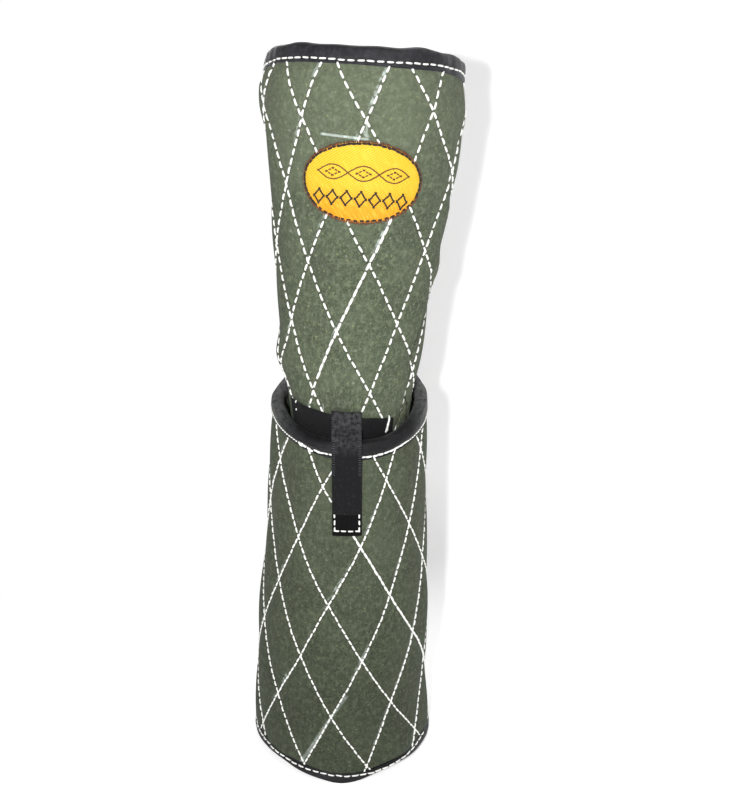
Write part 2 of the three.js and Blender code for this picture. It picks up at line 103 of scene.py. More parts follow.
# %% The tube rule
def curve_through(places, values):
    """A smooth curve through a few given values."""
    slopes = np.gradient(values, places)

    def at(place):
        place = np.clip(place, places[0], places[-1])
        index = np.clip(np.searchsorted(places, place) - 1, 0, len(places) - 2)
        gap = places[index + 1] - places[index]
        share = (place - places[index]) / gap
        ease = share * share * (3 - 2 * share)
        start = values[index] * (1 - ease) + slopes[index] * gap * share * (1 - share) ** 2
        return start + values[index + 1] * ease - slopes[index + 1] * gap * share**2 * (1 - share)

    return at


def curve_of(pairs, place_unit, value_unit):
    """A smooth curve through pairs of a place and a value, each in its unit."""
    places, values = np.array(pairs, float).T
    return curve_through(places * place_unit, values * value_unit)


def smooth_step(low, high, value):
    share = np.clip((value - low) / (high - low), 0, 1)
    return share * share * (3 - 2 * share)


def bell(value):
    return np.exp(-value * value)


class Tube:
    """A leaning tube; rises, skews and half widths are pairs, at the foot and at the mouth."""

    def __init__(self, sections, **sizes):
        self.__dict__.update(sizes)
        self.taper_at = curve_of([row[:2] for row in sections], 1, 1)
        self.drift_at = curve_of([row[::2] for row in sections], 1, 1)
        self.mean_half_width = sum(self.half_widths) / 2

    def share(self, turn, height):
        """Which section, from 0 at the foot to 1 at the mouth, passes through a place."""
        back = 1 - np.cos(turn)
        side = np.sin(turn)
        start = self.foot + self.rises[0] * back + self.skews[0] * side
        rise = (self.rises[1] - self.rises[0]) * back
        skew = (self.skews[1] - self.skews[0]) * side
        return (height - start) / (self.span + rise + skew)

    def mouth(self, turn):
        """The height of the mouth's edge at a turn."""
        rise = self.rises[1] * (1 - np.cos(turn))
        return self.foot + self.span + rise + self.skews[1] * np.sin(turn) + self.wave_at(turn)

    def point(self, turn, height, out=0.0):
        up = self.share(turn, height)
        narrow, wide = self.half_widths
        half_width = narrow + (wide - narrow) * self.taper_at(up)
        x = self.centre[0] + self.drift * self.drift_at(up) + (half_width + out) * np.sin(turn)
        y = self.centre[1] - (half_width * self.depth_share + out) * np.cos(turn)
        return np.stack(np.broadcast_arrays(x, y, height), axis=-1)


# %% The lower and the upper tube
bound_wall = wall + seam_gap + tape_thickness
neck_half_width = lower_mouth_width / 2 - bound_wall - neck_ease
webbing_layer = webbing_thickness + piece_gap
lift_under_band = 2 * piece_gap + webbing_thickness / 2
lift_of_band = lift_under_band + webbing_layer
lift_before_band = lift_of_band + webbing_layer
lower_inside_front = lower_depth_share * lower_mouth_width / 2 - bound_wall
strap_room = front_ease + webbing_layer - webbing_thickness / 2 + lift_before_band
upper_front = lower_inside_front - strap_room

# each section says how high it is, how far it has widened and how far it has drifted aside
lower = Tube(
    foot=0.0,
    span=lower_front_height,
    rises=(0.0, lower_mouth_rise),
    skews=(0.0, lower_mouth_skew),
    half_widths=(lower_bottom_width / 2, lower_mouth_width / 2),
    depth_share=lower_depth_share,
    centre=(axis_x, 0.0),
    drift=lower_drift,
    sections=[
        (-0.3, 0.00, 0.00), (0.06, 0.00, 0.00), (0.18, 0.15, -0.07), (0.38, 0.26, 0.26),
        (0.59, 0.61, 0.63), (0.79, 0.79, 0.84), (1.00, 1.00, 1.00), (1.25, 1.25, 1.19),
    ],
    wave_at=curve_of([
        (-180, -3.0), (-150, -8.0), (-125, -12.5), (-105, -11.0), (-90, -5.0), (-75, -0.6), (-60, 0.0),
        (60, 0.0), (75, 0.0), (90, -2.0), (105, -6.0), (125, -6.5), (150, -5.0), (180, -3.0),
    ], degree, mm),
)
upper = Tube(
    foot=lower_front_height,
    span=upper_front_height,
    rises=(lower_mouth_rise, upper_mouth_rise),
    skews=(lower_mouth_skew, upper_mouth_skew),
    half_widths=(neck_half_width, upper_flare_width / 2),
    depth_share=upper_depth_share,
    centre=(axis_x + lower_drift, upper_depth_share * neck_half_width - upper_front),
    drift=upper_drift,
    sections=[
        (-0.60, -0.21, 0.00), (0.00, 0.00, 0.00), (0.115, 0.19, 0.05), (0.24, 0.32, 0.18),
        (0.475, 0.55, 0.47), (0.71, 0.79, 0.83), (0.81, 0.90, 0.87), (0.87, 1.00, 0.88),
        (0.93, 0.98, 0.87), (1.00, 0.87, 1.00), (1.20, 0.56, 1.28),
    ],
    wave_at=curve_of([
        (-180, 0.0), (-95, 0.0), (-75, 1.2), (-57, 2.6), (-42, 1.8), (-20, 0.4), (25, 0.3), (45, 2.2),
        (57, 2.4), (70, 1.6), (88, 0.4), (120, 0.0), (180, 0.0),
    ], degree, mm),
)
for name, tube, node in (("lower", lower, "lower_sleeve"), ("upper", upper, "upper_sleeve")):
    front = float(tube.point(0.0, tube.foot + tube.span / 2)[1])
    node_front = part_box(node)[0].y
    print(name, "tube: front at half height y =", round(front, 4), "node's front", round(node_front, 4))

# %% [markdown]
# ## Finishes, written as small sums
# A finish is a node tree, but a tree is easier to read as arithmetic. The class Number wraps one
# socket, so that sums and products of Numbers add Math nodes, and Tree.node adds any other node.

# %% A small language for node trees
class Tree:
    """A node tree with one way to add any node: its settings first, then its sockets."""

    def __init__(self, node_tree):
        self.node_tree = node_tree

    def node(self, kind, settings=None, sockets=None):
        made = self.node_tree.nodes.new(kind)
        for name, setting in (settings or {}).items():
            setattr(made, name, setting)
        for name, value in (sockets or {}).items():
            plug = value.socket if isinstance(value, Number) else value
            if isinstance(plug, bpy.types.NodeSocket):
                self.node_tree.links.new(plug, made.inputs[name])
            else:
                made.inputs[name].default_value = plug
        return made

    def number(self, kind, settings=None, sockets=None, output=0):
        return Number(self, self.node(kind, settings, sockets).outputs[output])

    def layered(self, colour, *layers):
        """A colour with others laid over it, each as far as its own factor says."""
        settings = {"data_type": "RGBA", "clamp_factor": True}
        for factor, other in layers:
            colour = self.node("ShaderNodeMix", settings, {0: factor, 6: colour, 7: other}).outputs[2]
        return colour

    def noise(self, place, scale, detail=3.0, roughness=0.6):
        sockets = {"Vector": place, "Scale": scale, "Detail": detail, "Roughness": roughness}
        return self.number("ShaderNodeTexNoise", None, sockets)

    def uv(self, name):
        """The two numbers of a UV map, and the map itself."""
        plug = self.node("ShaderNodeUVMap", {"uv_map": name}).outputs[0]
        parts = self.node("ShaderNodeSeparateXYZ", None, {0: plug})
        return Number(self, parts.outputs[0]), Number(self, parts.outputs[1]), plug

    def place(self, x, y, z=0.0):
        return self.node("ShaderNodeCombineXYZ", None, {0: x, 1: y, 2: z}).outputs[0]

    def object_place(self):
        return self.node("ShaderNodeTexCoord").outputs["Object"]

    def height(self):
        return self.number("ShaderNodeSeparateXYZ", None, {0: self.object_place()}, output=2)


def operation(name):
    """A method that adds one Math node."""
    def add(self, *others):
        return self.tree.number("ShaderNodeMath", {"operation": name}, dict(enumerate((self, *others))))

    return add


class Number:
    """A number that varies over a surface."""

    def __init__(self, tree, socket):
        self.tree = tree
        self.socket = socket

    __add__ = __radd__ = operation("ADD")
    __mul__ = __rmul__ = operation("MULTIPLY")
    __sub__ = operation("SUBTRACT")
    __truediv__ = operation("DIVIDE")
    sin = operation("SINE")
    size = operation("ABSOLUTE")
    fraction = operation("FRACT")
    least = operation("MINIMUM")
    most = operation("MAXIMUM")

    def __rsub__(self, other):
        return self * -1 + other

    def ridges(self, pitch, shift=0.0):
        """Waves from 0 to 1, one to a pitch."""
        return (self * (full_turn / pitch) + shift).sin() * 0.5 + 0.5

    def fade(self, low, high):
        """0 where the number is low, 1 where it is high, smooth between; low may be the larger."""
        settings = {"interpolation_type": "SMOOTHSTEP", "clamp": True}
        sockets = {0: self, 1: min(low, high), 2: max(low, high), 3: 0.0, 4: 1.0}
        step = self.tree.number("ShaderNodeMapRange", settings, sockets)
        return step if low < high else 1 - step


def finish(name, roughness, sheen=0.0, sheen_roughness=0.5, specular=0.5):
    """A new material with its tree and its shader; sheen and gloss are the same all over."""
    material = bpy.data.materials.new(name)
    material.use_nodes = True
    shader = material.node_tree.nodes["Principled BSDF"]
    shader.inputs["Roughness"].default_value = roughness
    shader.inputs["Sheen Weight"].default_value = sheen
    shader.inputs["Sheen Roughness"].default_value = sheen_roughness
    shader.inputs["Specular IOR Level"].default_value = specular
    return material, Tree(material.node_tree), shader


def plug_in(tree, shader, colour, height, relief=0.5 * mm, strength=0.5):
    """Feeds a colour, and a height that goes from 0 to 1 over the relief, to a shader."""
    bump = tree.node("ShaderNodeBump", None, {"Height": height, "Distance": relief, "Strength": strength})
    tree.node_tree.links.new(colour, shader.inputs["Base Color"])
    tree.node_tree.links.new(bump.outputs[0], shader.inputs["Normal"])


# %% [markdown]
# ## Camera, light and paper
# The photograph looks down on the sleeve by about 18 degrees from three quarters of a metre away,
# with a lens of normal length, and its frame is shifted a little, as a cropped picture is. A small
# lamp stands close beside the camera, and a wide, weak one to its right. The white paper rises behind
# the right half only, where the shadow falls.

# %% Camera
picture_height = 800
focal_pixels = 949.95
sensor = 36.0
camera_distance = 778.43 * mm
camera_height = 554.08 * mm
camera_tilt = 18.20 * degree
camera_yaw = 0.67 * degree
camera_roll = 0.58 * degree
frame_shift_x = 45.34
frame_shift_y = 28.75

scene = bpy.context.scene
camera_data = bpy.data.cameras.new("photo_view")
camera_data.sensor_fit = "AUTO"
camera_data.sensor_width = sensor
camera_data.lens = focal_pixels * sensor / picture_height
camera_data.shift_x = frame_shift_x / picture_height
camera_data.shift_y = frame_shift_y / picture_height
camera = bpy.data.objects.new("photo_view", camera_data)
scene.collection.objects.link(camera)
turned = Matrix.Rotation(camera_yaw, 4, "Z") @ Matrix.Rotation(math.pi / 2 - camera_tilt, 4, "X")
camera.matrix_world = (
    Matrix.Translation((axis_x, -camera_distance, camera_height))
    @ turned
    @ Matrix.Rotation(-camera_roll, 4, "Z")
)
scene.camera = camera

# %% Lights and backdrop
scene.view_settings.view_transform = "Standard"
scene.view_settings.look = "None"
paper_white = 0.93
floor_glow = 0.42
wall_glow = 0.14
glow_reach = 70 * mm


def in_scene(name, data):
    """A new object that holds a mesh, a light or a camera."""
    made = bpy.data.objects.new(name, data)
    scene.collection.objects.link(made)
    return made


def area_light(name, place, target, size, watts):
    data = bpy.data.lights.new(name, "AREA")
    data.shape = "DISK"
    data.size = size
    data.energy = watts
    light = in_scene(name, data)
    light.location = place
    light.rotation_mode = "QUATERNION"
    light.rotation_quaternion = (Vector(target) - Vector(place)).to_track_quat("-Z", "Y")


area_light("key_near_camera", (-0.084, -0.76, 0.565), (0.0, 0.0, 0.40), size=0.035, watts=5.7)
area_light("fill_right", (0.75, -1.2, 0.7), (0.0, 0.0, 0.3), size=0.9, watts=2.5)

world = bpy.data.worlds.new("studio")
world.use_nodes = True
world.node_tree.nodes["Background"].inputs["Color"].default_value = (1, 1, 1, 1)
world.node_tree.nodes["Background"].inputs["Strength"].default_value = 0.45
scene.world = world


def stage_piece(name, points, faces, material):
    mesh = bpy.data.meshes.new(name)
    mesh.from_pydata(points, [], faces)
    mesh.shade_smooth()
    mesh.materials.append(material)
    piece = in_scene(name, mesh)
    return piece


def stage_paper(name, base, glow, glow_at_foot=None):
    """Paper that glows a little; its glow may change over the first centimetres above the floor."""
    paper, tree, shader = finish(name, roughness=0.9)
    shader.inputs["Base Color"].default_value = (base, base, base, 1)
    shader.inputs["Emission Color"].default_value = (1, 1, 1, 1)
    shader.inputs["Emission Strength"].default_value = glow
    if glow_at_foot is not None:
        at_foot, above = ((value, value, value, 1) for value in (glow_at_foot, glow))
        faded = tree.layered(at_foot, (tree.height().fade(0.0, glow_reach), above))
        tree.node_tree.links.new(faded, shader.inputs["Emission Color"])
        shader.inputs["Emission Strength"].default_value = 1.0
    return paper


def backdrop():
    """White paper on the floor; it curves up behind the right half only, so the back can be seen too."""
    left, middle, right = -3.0, -0.06, 3.0
    front, wall_place, top = -4.0, 0.26, 4.0
    bend = 0.16
    bend_steps = 16
    bend_start = wall_place - bend
    profile = []
    for step in range(bend_steps + 1):
        angle = step / bend_steps * math.pi / 2
        profile.append((bend_start + bend * math.sin(angle), bend - bend * math.cos(angle)))
    profile.append((wall_place, top))
    points = [(x, y, z) for y, z in profile for x in (middle, right)]
    faces = [(2 * i, 2 * i + 1, 2 * i + 3, 2 * i + 2) for i in range(len(profile) - 1)]
    stage_piece("backdrop_wall", points, faces, stage_paper("wall_paper", paper_white, wall_glow, floor_glow))
    floor = [(left, front, 0.0), (right, front, 0.0), (right, bend_start, 0.0), (middle, bend_start, 0.0),
             (middle, wall_place, 0.0), (left, wall_place, 0.0)]
    floor_paper = stage_paper("floor_paper", paper_white, floor_glow)
    stage_piece("backdrop_floor", floor, [tuple(range(len(floor)))], floor_paper)


def surround():
    """A white room that the camera sees beyond the paper; it takes no part in the lighting."""
    half = 6.0
    corners = [(x, y, z) for x in (-half, half) for y in (-half, half) for z in (-half, half)]
    faces = [(0, 1, 3, 2), (4, 6, 7, 5), (0, 4, 5, 1), (2, 3, 7, 6), (0, 2, 6, 4), (1, 5, 7, 3)]
    room = stage_piece("white_surround", corners, faces, stage_paper("surround_white", 0.0, 1.0))
    room.data.shade_flat()
    for kind in ("diffuse", "glossy", "transmission", "volume_scatter", "shadow"):
        setattr(room, "visible_" + kind, False)


backdrop()
surround()
print("camera with a lens of", round(camera_data.lens, 2), "mm, two lights and a backdrop")

# %% [markdown]
# ## The quilting as a lattice
# The diamonds are the cells between two families of stitch lines that wind round the tube in
# opposite ways. Give every place on the cloth two numbers, a and b, that grow by one from line to
# line, and everything follows: stitches lie where a or b is whole, and the padding puffs between.

# %% The quilting lattice
class Quilt:
    """Two families of lines; a row of crossings rises to the back of the tube as its mouth does."""

    def __init__(self, **sizes):
        self.__dict__.update(sizes)

    def tilt(self, turn):
        return self.rise * (1 - np.cos(turn)) + self.skew * np.sin(turn)

    def aside(self, turn, row):
        """How far the lines lie from even steps: crowded at the front of a row, or dragged aside."""
        wrapped = (turn + math.pi) % full_turn - math.pi
        dragged = self.drag_at(wrapped) * smooth_step(self.drag_rows[1], self.drag_rows[0], row)
        return (self.crowd[0] + self.crowd[1] * row) * np.sin(turn) - dragged

    def height(self, turn, row):
        return self.top_row - self.row_height * row + self.tilt(turn)

    def lines(self, turn, height):
        """The numbers a and b at a place on the cloth."""
        row = (self.top_row + self.tilt(turn) - height) / self.row_height
        spread = turn + self.aside(turn, row)
        share = (spread - self.first_angle - self.twist * row) * self.diamonds / full_turn - self.phase
        return share + row / 2, share - row / 2

    def turn_on_line(self, family, line, row):
        """The turn at which line number line of a family (1 or -1) crosses a row."""
        share = line + self.phase - family * row / 2
        spread = self.first_angle + self.twist * row + share * full_turn / self.diamonds
        turn = spread
        settling_steps = 14
        for _ in range(settling_steps):
            turn = spread - self.aside(turn, row)
        return turn


lower_quilt = Quilt(
    diamonds=9, row_height=51.5 * mm, top_row=lower_front_height - 42 * mm, rise=30.6 * mm, skew=3 * mm,
    first_angle=5.6 * degree, twist=1.94 * degree, phase=0.5, crowd=(0.0, 0.0), drag_rows=(0.8, 3.6),
    drag_at=curve_of([
        (-180, 0.0), (-100, -2.0), (-75, -6.0), (-58, -6.6), (-45, -5.0), (-35, -5.0), (-20, -4.8),
        (-8, -2.0), (2, 0.0), (20, 1.2), (45, 0.0), (180, 0.0),
    ], degree, degree),
)
upper_quilt = Quilt(
    diamonds=8, row_height=51.7 * mm, top_row=upper_mouth_height - 47 * mm, rise=20.2 * mm, skew=1.8 * mm,
    first_angle=1.2 * degree, twist=3.15 * degree, phase=0.0, crowd=(0.10, -0.06), drag_rows=(8.0, 9.0),
    drag_at=curve_of([
        (-180, 0.0), (-145, 2.5), (-110, 7.0), (-80, 10.0), (-62, 9.0), (-50, 7.0), (-37, 4.0), (-25, 1.8),
        (-12, 0.0), (0, -0.6), (12, -0.4), (25, -1.8), (40, -2.8), (55, -3.2), (70, -2.2), (95, 0.0),
        (180, 0.0),
    ], degree, degree),
)
print("stitch lines:", 2 * lower_quilt.diamonds, "below,", 2 * upper_quilt.diamonds, "above")

# %% [markdown]
# ## How far the cloth stands out
# Real quilting is never even. The offset of the cloth from its tube is the sum of a few small
# things: the puff of each diamond, which dies away under the tapes, the strap and the patch; a slow
# unevenness; and, on the upper tube, two soft bulges and the creases that the bent neck has kept on
# its right side.

# %% Patch, strap and band places
strap_width = 24 * mm
strap_x = axis_x + lower_drift - 3.2 * mm
strap_foot = lower_front_height - 82 * mm
strap_flap = lower_front_height - 63 * mm
band_width = 25 * mm
band_top = lower_front_height + 14 * mm
band_fall = 0.125 * mm / degree
band_left = -65 * degree
band_right = 41 * degree
band_turn_room = 2 * mm
patch_length = 91 * mm
patch_height = 57 * mm
patch_thickness = 1.4 * mm
patch_z = upper_mouth_height - 90 * mm
patch_turn = -0.8 * degree
patch_tilt = -4.8 * degree
patch_x = float(upper.point(patch_turn, patch_z)[0])

# %% The cloth's offset
puff_height = 2.3 * mm
edge_fade = 9 * mm


def unevenness(turn, height, seed):
    """Soft bumps about one unit high, the same on every run, that close up round the tube."""
    waves = 12
    chooser = np.random.default_rng(seed)
    total = 0.0
    for _ in range(waves):
        around = chooser.integers(1, 8)
        along = chooser.uniform(-60, 60)
        total = total + np.sin(around * turn + along * height + chooser.uniform(0, full_turn))
    return total / math.sqrt(waves)


def in_patch(turn, height, margin=0.0):
    """Below 1 under the patch, 1 on its edge."""
    beside = upper.point(turn, height)[..., 0] - patch_x
    above = height - patch_z
    across = beside * math.cos(patch_tilt) + above * math.sin(patch_tilt)
    up = above * math.cos(patch_tilt) - beside * math.sin(patch_tilt)
    reach = np.hypot(across / (patch_length / 2 + margin), up / (patch_height / 2 + margin))
    return np.where(np.cos(turn) > 0, reach, 9.0)


def puff(quilt, turn, height):
    a, b = quilt.lines(turn, height)
    soft = 0.012
    between = np.sqrt(np.abs(np.sin(math.pi * a) * np.sin(math.pi * b)) + soft) - math.sqrt(soft)
    return puff_height * between


tape_rise_at = curve_of([(-180, 1.5), (28, 1.5), (52, 0.6), (80, 0.5), (120, 1.5), (180, 1.5)], degree, mm)


def tape_foot(turn):
    """The height of the lower edge of the tape round the top mouth."""
    return upper.mouth(turn) - mouth_tape_height + tape_rise_at(turn)


crease_turn_at = curve_of([
    (0.00, 47.5), (0.085, 51.0), (0.185, 52.0), (0.23, 53.5), (0.287, 59.5), (0.33, 66.0),
    (0.37, 67.5), (0.42, 62.0), (0.50, 75.0), (0.59, 78.0), (0.65, 68.0), (0.71, 61.0),
    (0.765, 62.5), (0.80, 78.0), (0.85, 82.0), (0.93, 71.0),
], 1, degree)
crease_depth_at = curve_of([
    (0.00, 2.2), (0.10, 2.4), (0.185, 3.0), (0.23, 3.8), (0.33, 4.5), (0.40, 2.6),
    (0.47, 0.6), (0.59, 2.2), (0.65, 2.0), (0.71, 0.3), (0.765, 1.0), (0.82, 2.2), (0.90, 0.4),
], 1, mm)


def upper_share(height):
    return (height - lower_front_height) / upper_front_height


def crease(turn, height):
    """A fold in which the front cloth laps a little over the cloth behind it."""
    up = upper_share(height)
    beside = (turn - crease_turn_at(up)) / degree
    behind = np.where(beside > 0, np.exp(-np.maximum(beside, 0) / 7.0), 0.0)
    before = np.where(beside <= 0, np.exp(np.minimum(beside, 0) / 4.0), 0.0)
    shown = smooth_step(-0.02, 0.02, up) * smooth_step(0.96, 0.88, up)
    return crease_depth_at(up) * shown * (0.25 * before - behind)


def pleat(turn, height):
    """The second, smaller crease that runs down into the roll."""
    up = upper_share(height)
    middle = np.interp(up, [0.03, 0.13], [69 * degree, 53 * degree])
    shown = smooth_step(0.145, 0.06, up) * smooth_step(-0.1, 0.0, up)
    return -2.2 * mm * bell((turn - middle) / (3.5 * degree)) * shown


def bulge(turn, height, middle, reach, middle_height, reach_up, out):
    """A soft swelling of the cloth round one place."""
    return out * bell((turn - middle) / reach) * bell((height - middle_height) / reach_up)


def lower_cloth(turn, height):
    x = lower.point(turn, height)[..., 0]
    from_top = lower.mouth(turn) - roll_height - height
    beside_strap = np.maximum(np.abs(x - strap_x) - strap_width / 2, strap_foot - height)
    under_strap = np.where(np.cos(turn) > 0, smooth_step(0, edge_fade, beside_strap), 1.0)
    room = smooth_step(-1 * mm, edge_fade, from_top) * smooth_step(8 * mm, 20 * mm, height) * under_strap
    return (puff(lower_quilt, turn, height) + unevenness(turn, height, seed=3) * 0.45 * mm) * room


def upper_cloth(turn, height):
    from_patch = smooth_step(0.93, 1.22, in_patch(turn, height))
    room = smooth_step(-1 * mm, edge_fade, tape_foot(turn) - height) * from_patch
    band_edge = band_top - band_fall * turn
    in_band = (turn > band_left) & (turn < band_right)
    over_band = np.where(in_band, smooth_step(0, 10 * mm, height - band_edge), 1.0)
    in_neck = smooth_step(lower_front_height - 25 * mm, lower_front_height + 8 * mm, height)
    slow = unevenness(turn, height, seed=8) * 0.55 * mm
    folds = crease(turn, height) + pleat(turn, height)
    folds = folds + bulge(turn, height, -88 * degree, 38 * degree, 366 * mm, 15 * mm, 4.6 * mm)
    folds = folds + bulge(turn, height, 96 * degree, 30 * degree, 437 * mm, 14 * mm, 3.8 * mm)
    return (puff(upper_quilt, turn, height) * over_band + slow) * room * in_neck + folds


test_turns = np.linspace(-math.pi, math.pi, 400)
for name, cloth, height in (("lower", lower_cloth, 0.15), ("upper", upper_cloth, 0.42)):
    print(name, "cloth stands out by", np.round(np.ptp(cloth(test_turns, height)) / mm, 2), "mm")

# %% [markdown]
# ## Quilted canvas
# The real cloth is a napped olive canvas: a fine slanting weave, lighter and darker threads, and
# yellow-green flecks. It puckers between stitches and keeps chalk from the marking out. Painted shade
# darkens the valleys along its seams, a few creases and the lower tube's foot, and painted light
# brightens the upper part of each tube. The lattice numbers tell the finish how far away the nearest
# stitch line is.

# %% Quilted canvas
line_spacing_mm = 48
stitches_to_a_side = 58 / 6.0
pale_chalk = (0.62, 0.70, 0.66, 1)


def from_line(lattice_number, shift=0.0):
    """How far the nearest line is, in mm; a shift keeps the sum above zero and moves the line."""
    return ((lattice_number + 100.5 + shift).fraction() - 0.5).size() * line_spacing_mm


def stroke(line, radius, u, v, smear):
    """Up to its strength near a straight line between two places, each a turn and a height in mm."""
    (start_turn, start_z), (end_turn, end_z), width, strength = line
    start = (start_turn * degree * radius, start_z * mm)
    end = (end_turn * degree * radius, end_z * mm)
    length = math.dist(start, end)
    along_x = (end[0] - start[0]) / length
    along_y = (end[1] - start[1]) / length
    along = (u - start[0]) * along_x + (v - start[1]) * along_y
    off = ((u - start[0]) * along_y - (v - start[1]) * along_x).size()
    ends = along.fade(-1 * mm, 1 * mm) * along.fade(length + 1 * mm, length - 3 * mm)
    return off.fade(width * mm, 0.25 * width * mm) * ends * smear.most(0.55) * strength


def quilted_canvas(name, brightness, tube, chalk_amount, chalk_seed, chalk_lines, crease_shade_lines, painted_shade_and_light):
    """Canvas with chalk and painted crease shade along lines, painted shade at its foot, light at its top."""
    material, tree, shader = finish(name, roughness=0.95, sheen=0.04, specular=0.12)

    def tone(red, green, blue):
        return red * brightness, green * brightness, blue * brightness, 1

    u, v, flat = tree.uv("UVMap")
    a, b, _ = tree.uv("lattice")
    from_a = from_line(a)
    from_b = from_line(b)

    weave = (u + v * 0.8).ridges(1.15 * mm) * (u * 0.9 - v).ridges(1.5 * mm)
    threads = tree.noise(flat, 560, detail=4, roughness=0.8)
    nap = tree.noise(tree.place(u, v * 0.75), 250, detail=4, roughness=0.75)
    cloud = tree.noise(flat, 26, detail=3, roughness=0.55)
    flecks = tree.noise(tree.place(u + 3.1, v), 430, detail=1, roughness=0.5).fade(0.66, 0.76)
    pale_flecks = tree.noise(tree.place(u, v + 7.7), 300, detail=1, roughness=0.4).fade(0.70, 0.80)

    marked = tree.noise(tree.place(a * 0.7, b * 0.7, chalk_seed), 1.9, detail=1).fade(0.50, 0.64)
    smear = tree.noise(flat, 260, detail=3).fade(0.40, 0.62)
    chalk = from_line(a, shift=0.03).fade(1.9, 0.5) * marked * smear * chalk_amount
    drawn = (tube.mean_half_width, u, v, smear)
    for line in chalk_lines:
        chalk = chalk.most(stroke(line, *drawn))

    # shade is a dark tone for darker threads and weave that also paints shade; light is a pale nap tone that
    # also paints light
    shade = tone(0.030, 0.038, 0.024)
    light = tone(0.215, 0.245, 0.165)
    (low_z, low_amount), (high_z, high_amount) = painted_shade_and_light
    colour = tree.layered(
        tone(0.098, 0.120, 0.076),
        (threads.fade(0.64, 0.36) * 0.85, shade),
        (nap.fade(0.44, 0.68) * 0.55, light),
        (weave * 0.42, shade),
        (flecks * 0.60, tone(0.300, 0.330, 0.130)),
        (pale_flecks * 0.5, tone(0.34, 0.36, 0.29)),
        (cloud.fade(0.35, 0.70) * 0.30, tone(0.140, 0.162, 0.108)),
        (cloud.fade(0.50, 0.25) * 0.25, tone(0.074, 0.072, 0.060)),
        # painted shade in the valleys along the seams
        (from_a.least(from_b).fade(1.7, 0.4) * 0.45, shade),
        # painted shade towards the foot and painted light towards the top, set by height
        (v.fade(low_z, 0.35 * low_z) * low_amount, shade),
        (v.fade(high_z, high_z + 130 * mm) * high_amount, light),
        (chalk, pale_chalk),
        # painted shade in a few creases
        *((stroke(line, *drawn), tone(0.010, 0.012, 0.009)) for line in crease_shade_lines),
    )
    ripple_a = (b * (full_turn * stitches_to_a_side)).sin() * from_a.fade(4.0, 0.6)
    ripple_b = (a * (full_turn * stitches_to_a_side)).sin() * from_b.fade(4.0, 0.6)
    height = threads * 0.30 + weave * 0.22 + nap * 0.35 + (ripple_a + ripple_b) * 0.22
    plug_in(tree, shader, colour, height, relief=0.9 * mm, strength=0.55)
    return material


# each line: a turn and a height at its start and at its end, its width in mm and its strength
upper_canvas = quilted_canvas(
    "upper_quilted_canvas", 0.90, upper, chalk_amount=0.55, chalk_seed=3.0,
    chalk_lines=[
        ((-24.6, 542.5), (2.5, 538.0), 1.3, 0.75), ((0.7, 551.0), (0.9, 540.0), 1.0, 0.55),
        ((-1.5, 545.0), (2.0, 539.0), 1.6, 0.45), ((-23.5, 336.0), (-24.2, 326.0), 0.9, 0.45),
    ],
    # painted shade in the creases at the right, beside the cross band
    crease_shade_lines=[
        ((53.0, 343.0), (50.5, 328.0), 1.7, 1.0), ((50.5, 329.0), (47.5, 312.0), 2.2, 1.0),
        ((53.5, 342.0), (68.0, 325.0), 1.6, 1.0), ((79.0, 341.0), (71.0, 321.0), 1.8, 0.9),
    ],
    painted_shade_and_light=((0.40, 0.0), (0.45, 0.22)),
)
# the lower canvas is darker partly in its own tone and partly as painted shade for the weaker light nearer
# the floor
lower_canvas = quilted_canvas(
    "lower_quilted_canvas", 0.62, lower, chalk_amount=0.35, chalk_seed=8.0,
    chalk_lines=[((-27.0, 14.0), (-7.8, 61.0), 2.2, 0.32), ((-7.8, 61.0), (3.0, 86.0), 2.0, 0.24)],
    crease_shade_lines=[], painted_shade_and_light=((0.17, 0.24), (0.12, 0.10)),
)

# %% [markdown]
# ## Tape, webbing, twill and thread
# The binding is a fine black twill tape, a little paler where it is dusty and worn; on the roll, a
# painted sheen also makes it paler towards both sides, broken up by the dust. The strap is a thicker
# webbing with ribs along it, dusty where it crosses the roll and blackest at its foot. The patch is
# an orange twill that fades to yellow. The threads are white, black, rust, brown and grey.

# %% Tape, webbing, twill and thread
dusty_from = 0.296
dusty_to = 0.316
coal = (0.003, 0.003, 0.004, 1)
soot = (0.004, 0.004, 0.005, 1)


def binding_tape(name, sheen, dark, light, lit_radius=0.0):
    """Fine black tape; given a radius, a painted sheen pales it towards both sides of a ring of that size."""
    material, tree, shader = finish(name, 0.60, sheen=sheen, sheen_roughness=0.32, specular=0.25)
    u, v, flat = tree.uv("UVMap")
    weave = (u + v).ridges(0.9 * mm)
    dust = tree.noise(flat, 240, detail=4, roughness=0.7)
    worn = tree.noise(flat, 45, detail=2)
    layers = [
        (dust.fade(0.40, 0.75) * 0.6, light),
        (worn.fade(0.45, 0.70) * weave * 0.45, (0.046, 0.047, 0.052, 1)),
    ]
    if lit_radius:
        # painted sheen: the ring's tape is painted paler towards its left and right sides, broken up by the
        # dust
        around = u / lit_radius
        painted_sheen_sides = around.fade(math.pi + 0.80, math.pi + 1.50) + around.fade(math.pi - 0.65, math.pi - 1.40)
        layers.append((painted_sheen_sides * dust.fade(0.25, 0.65), (0.100, 0.104, 0.100, 1)))
    plug_in(tree, shader, tree.layered(dark, *layers), weave * 0.4 + dust * 0.6)
    return material


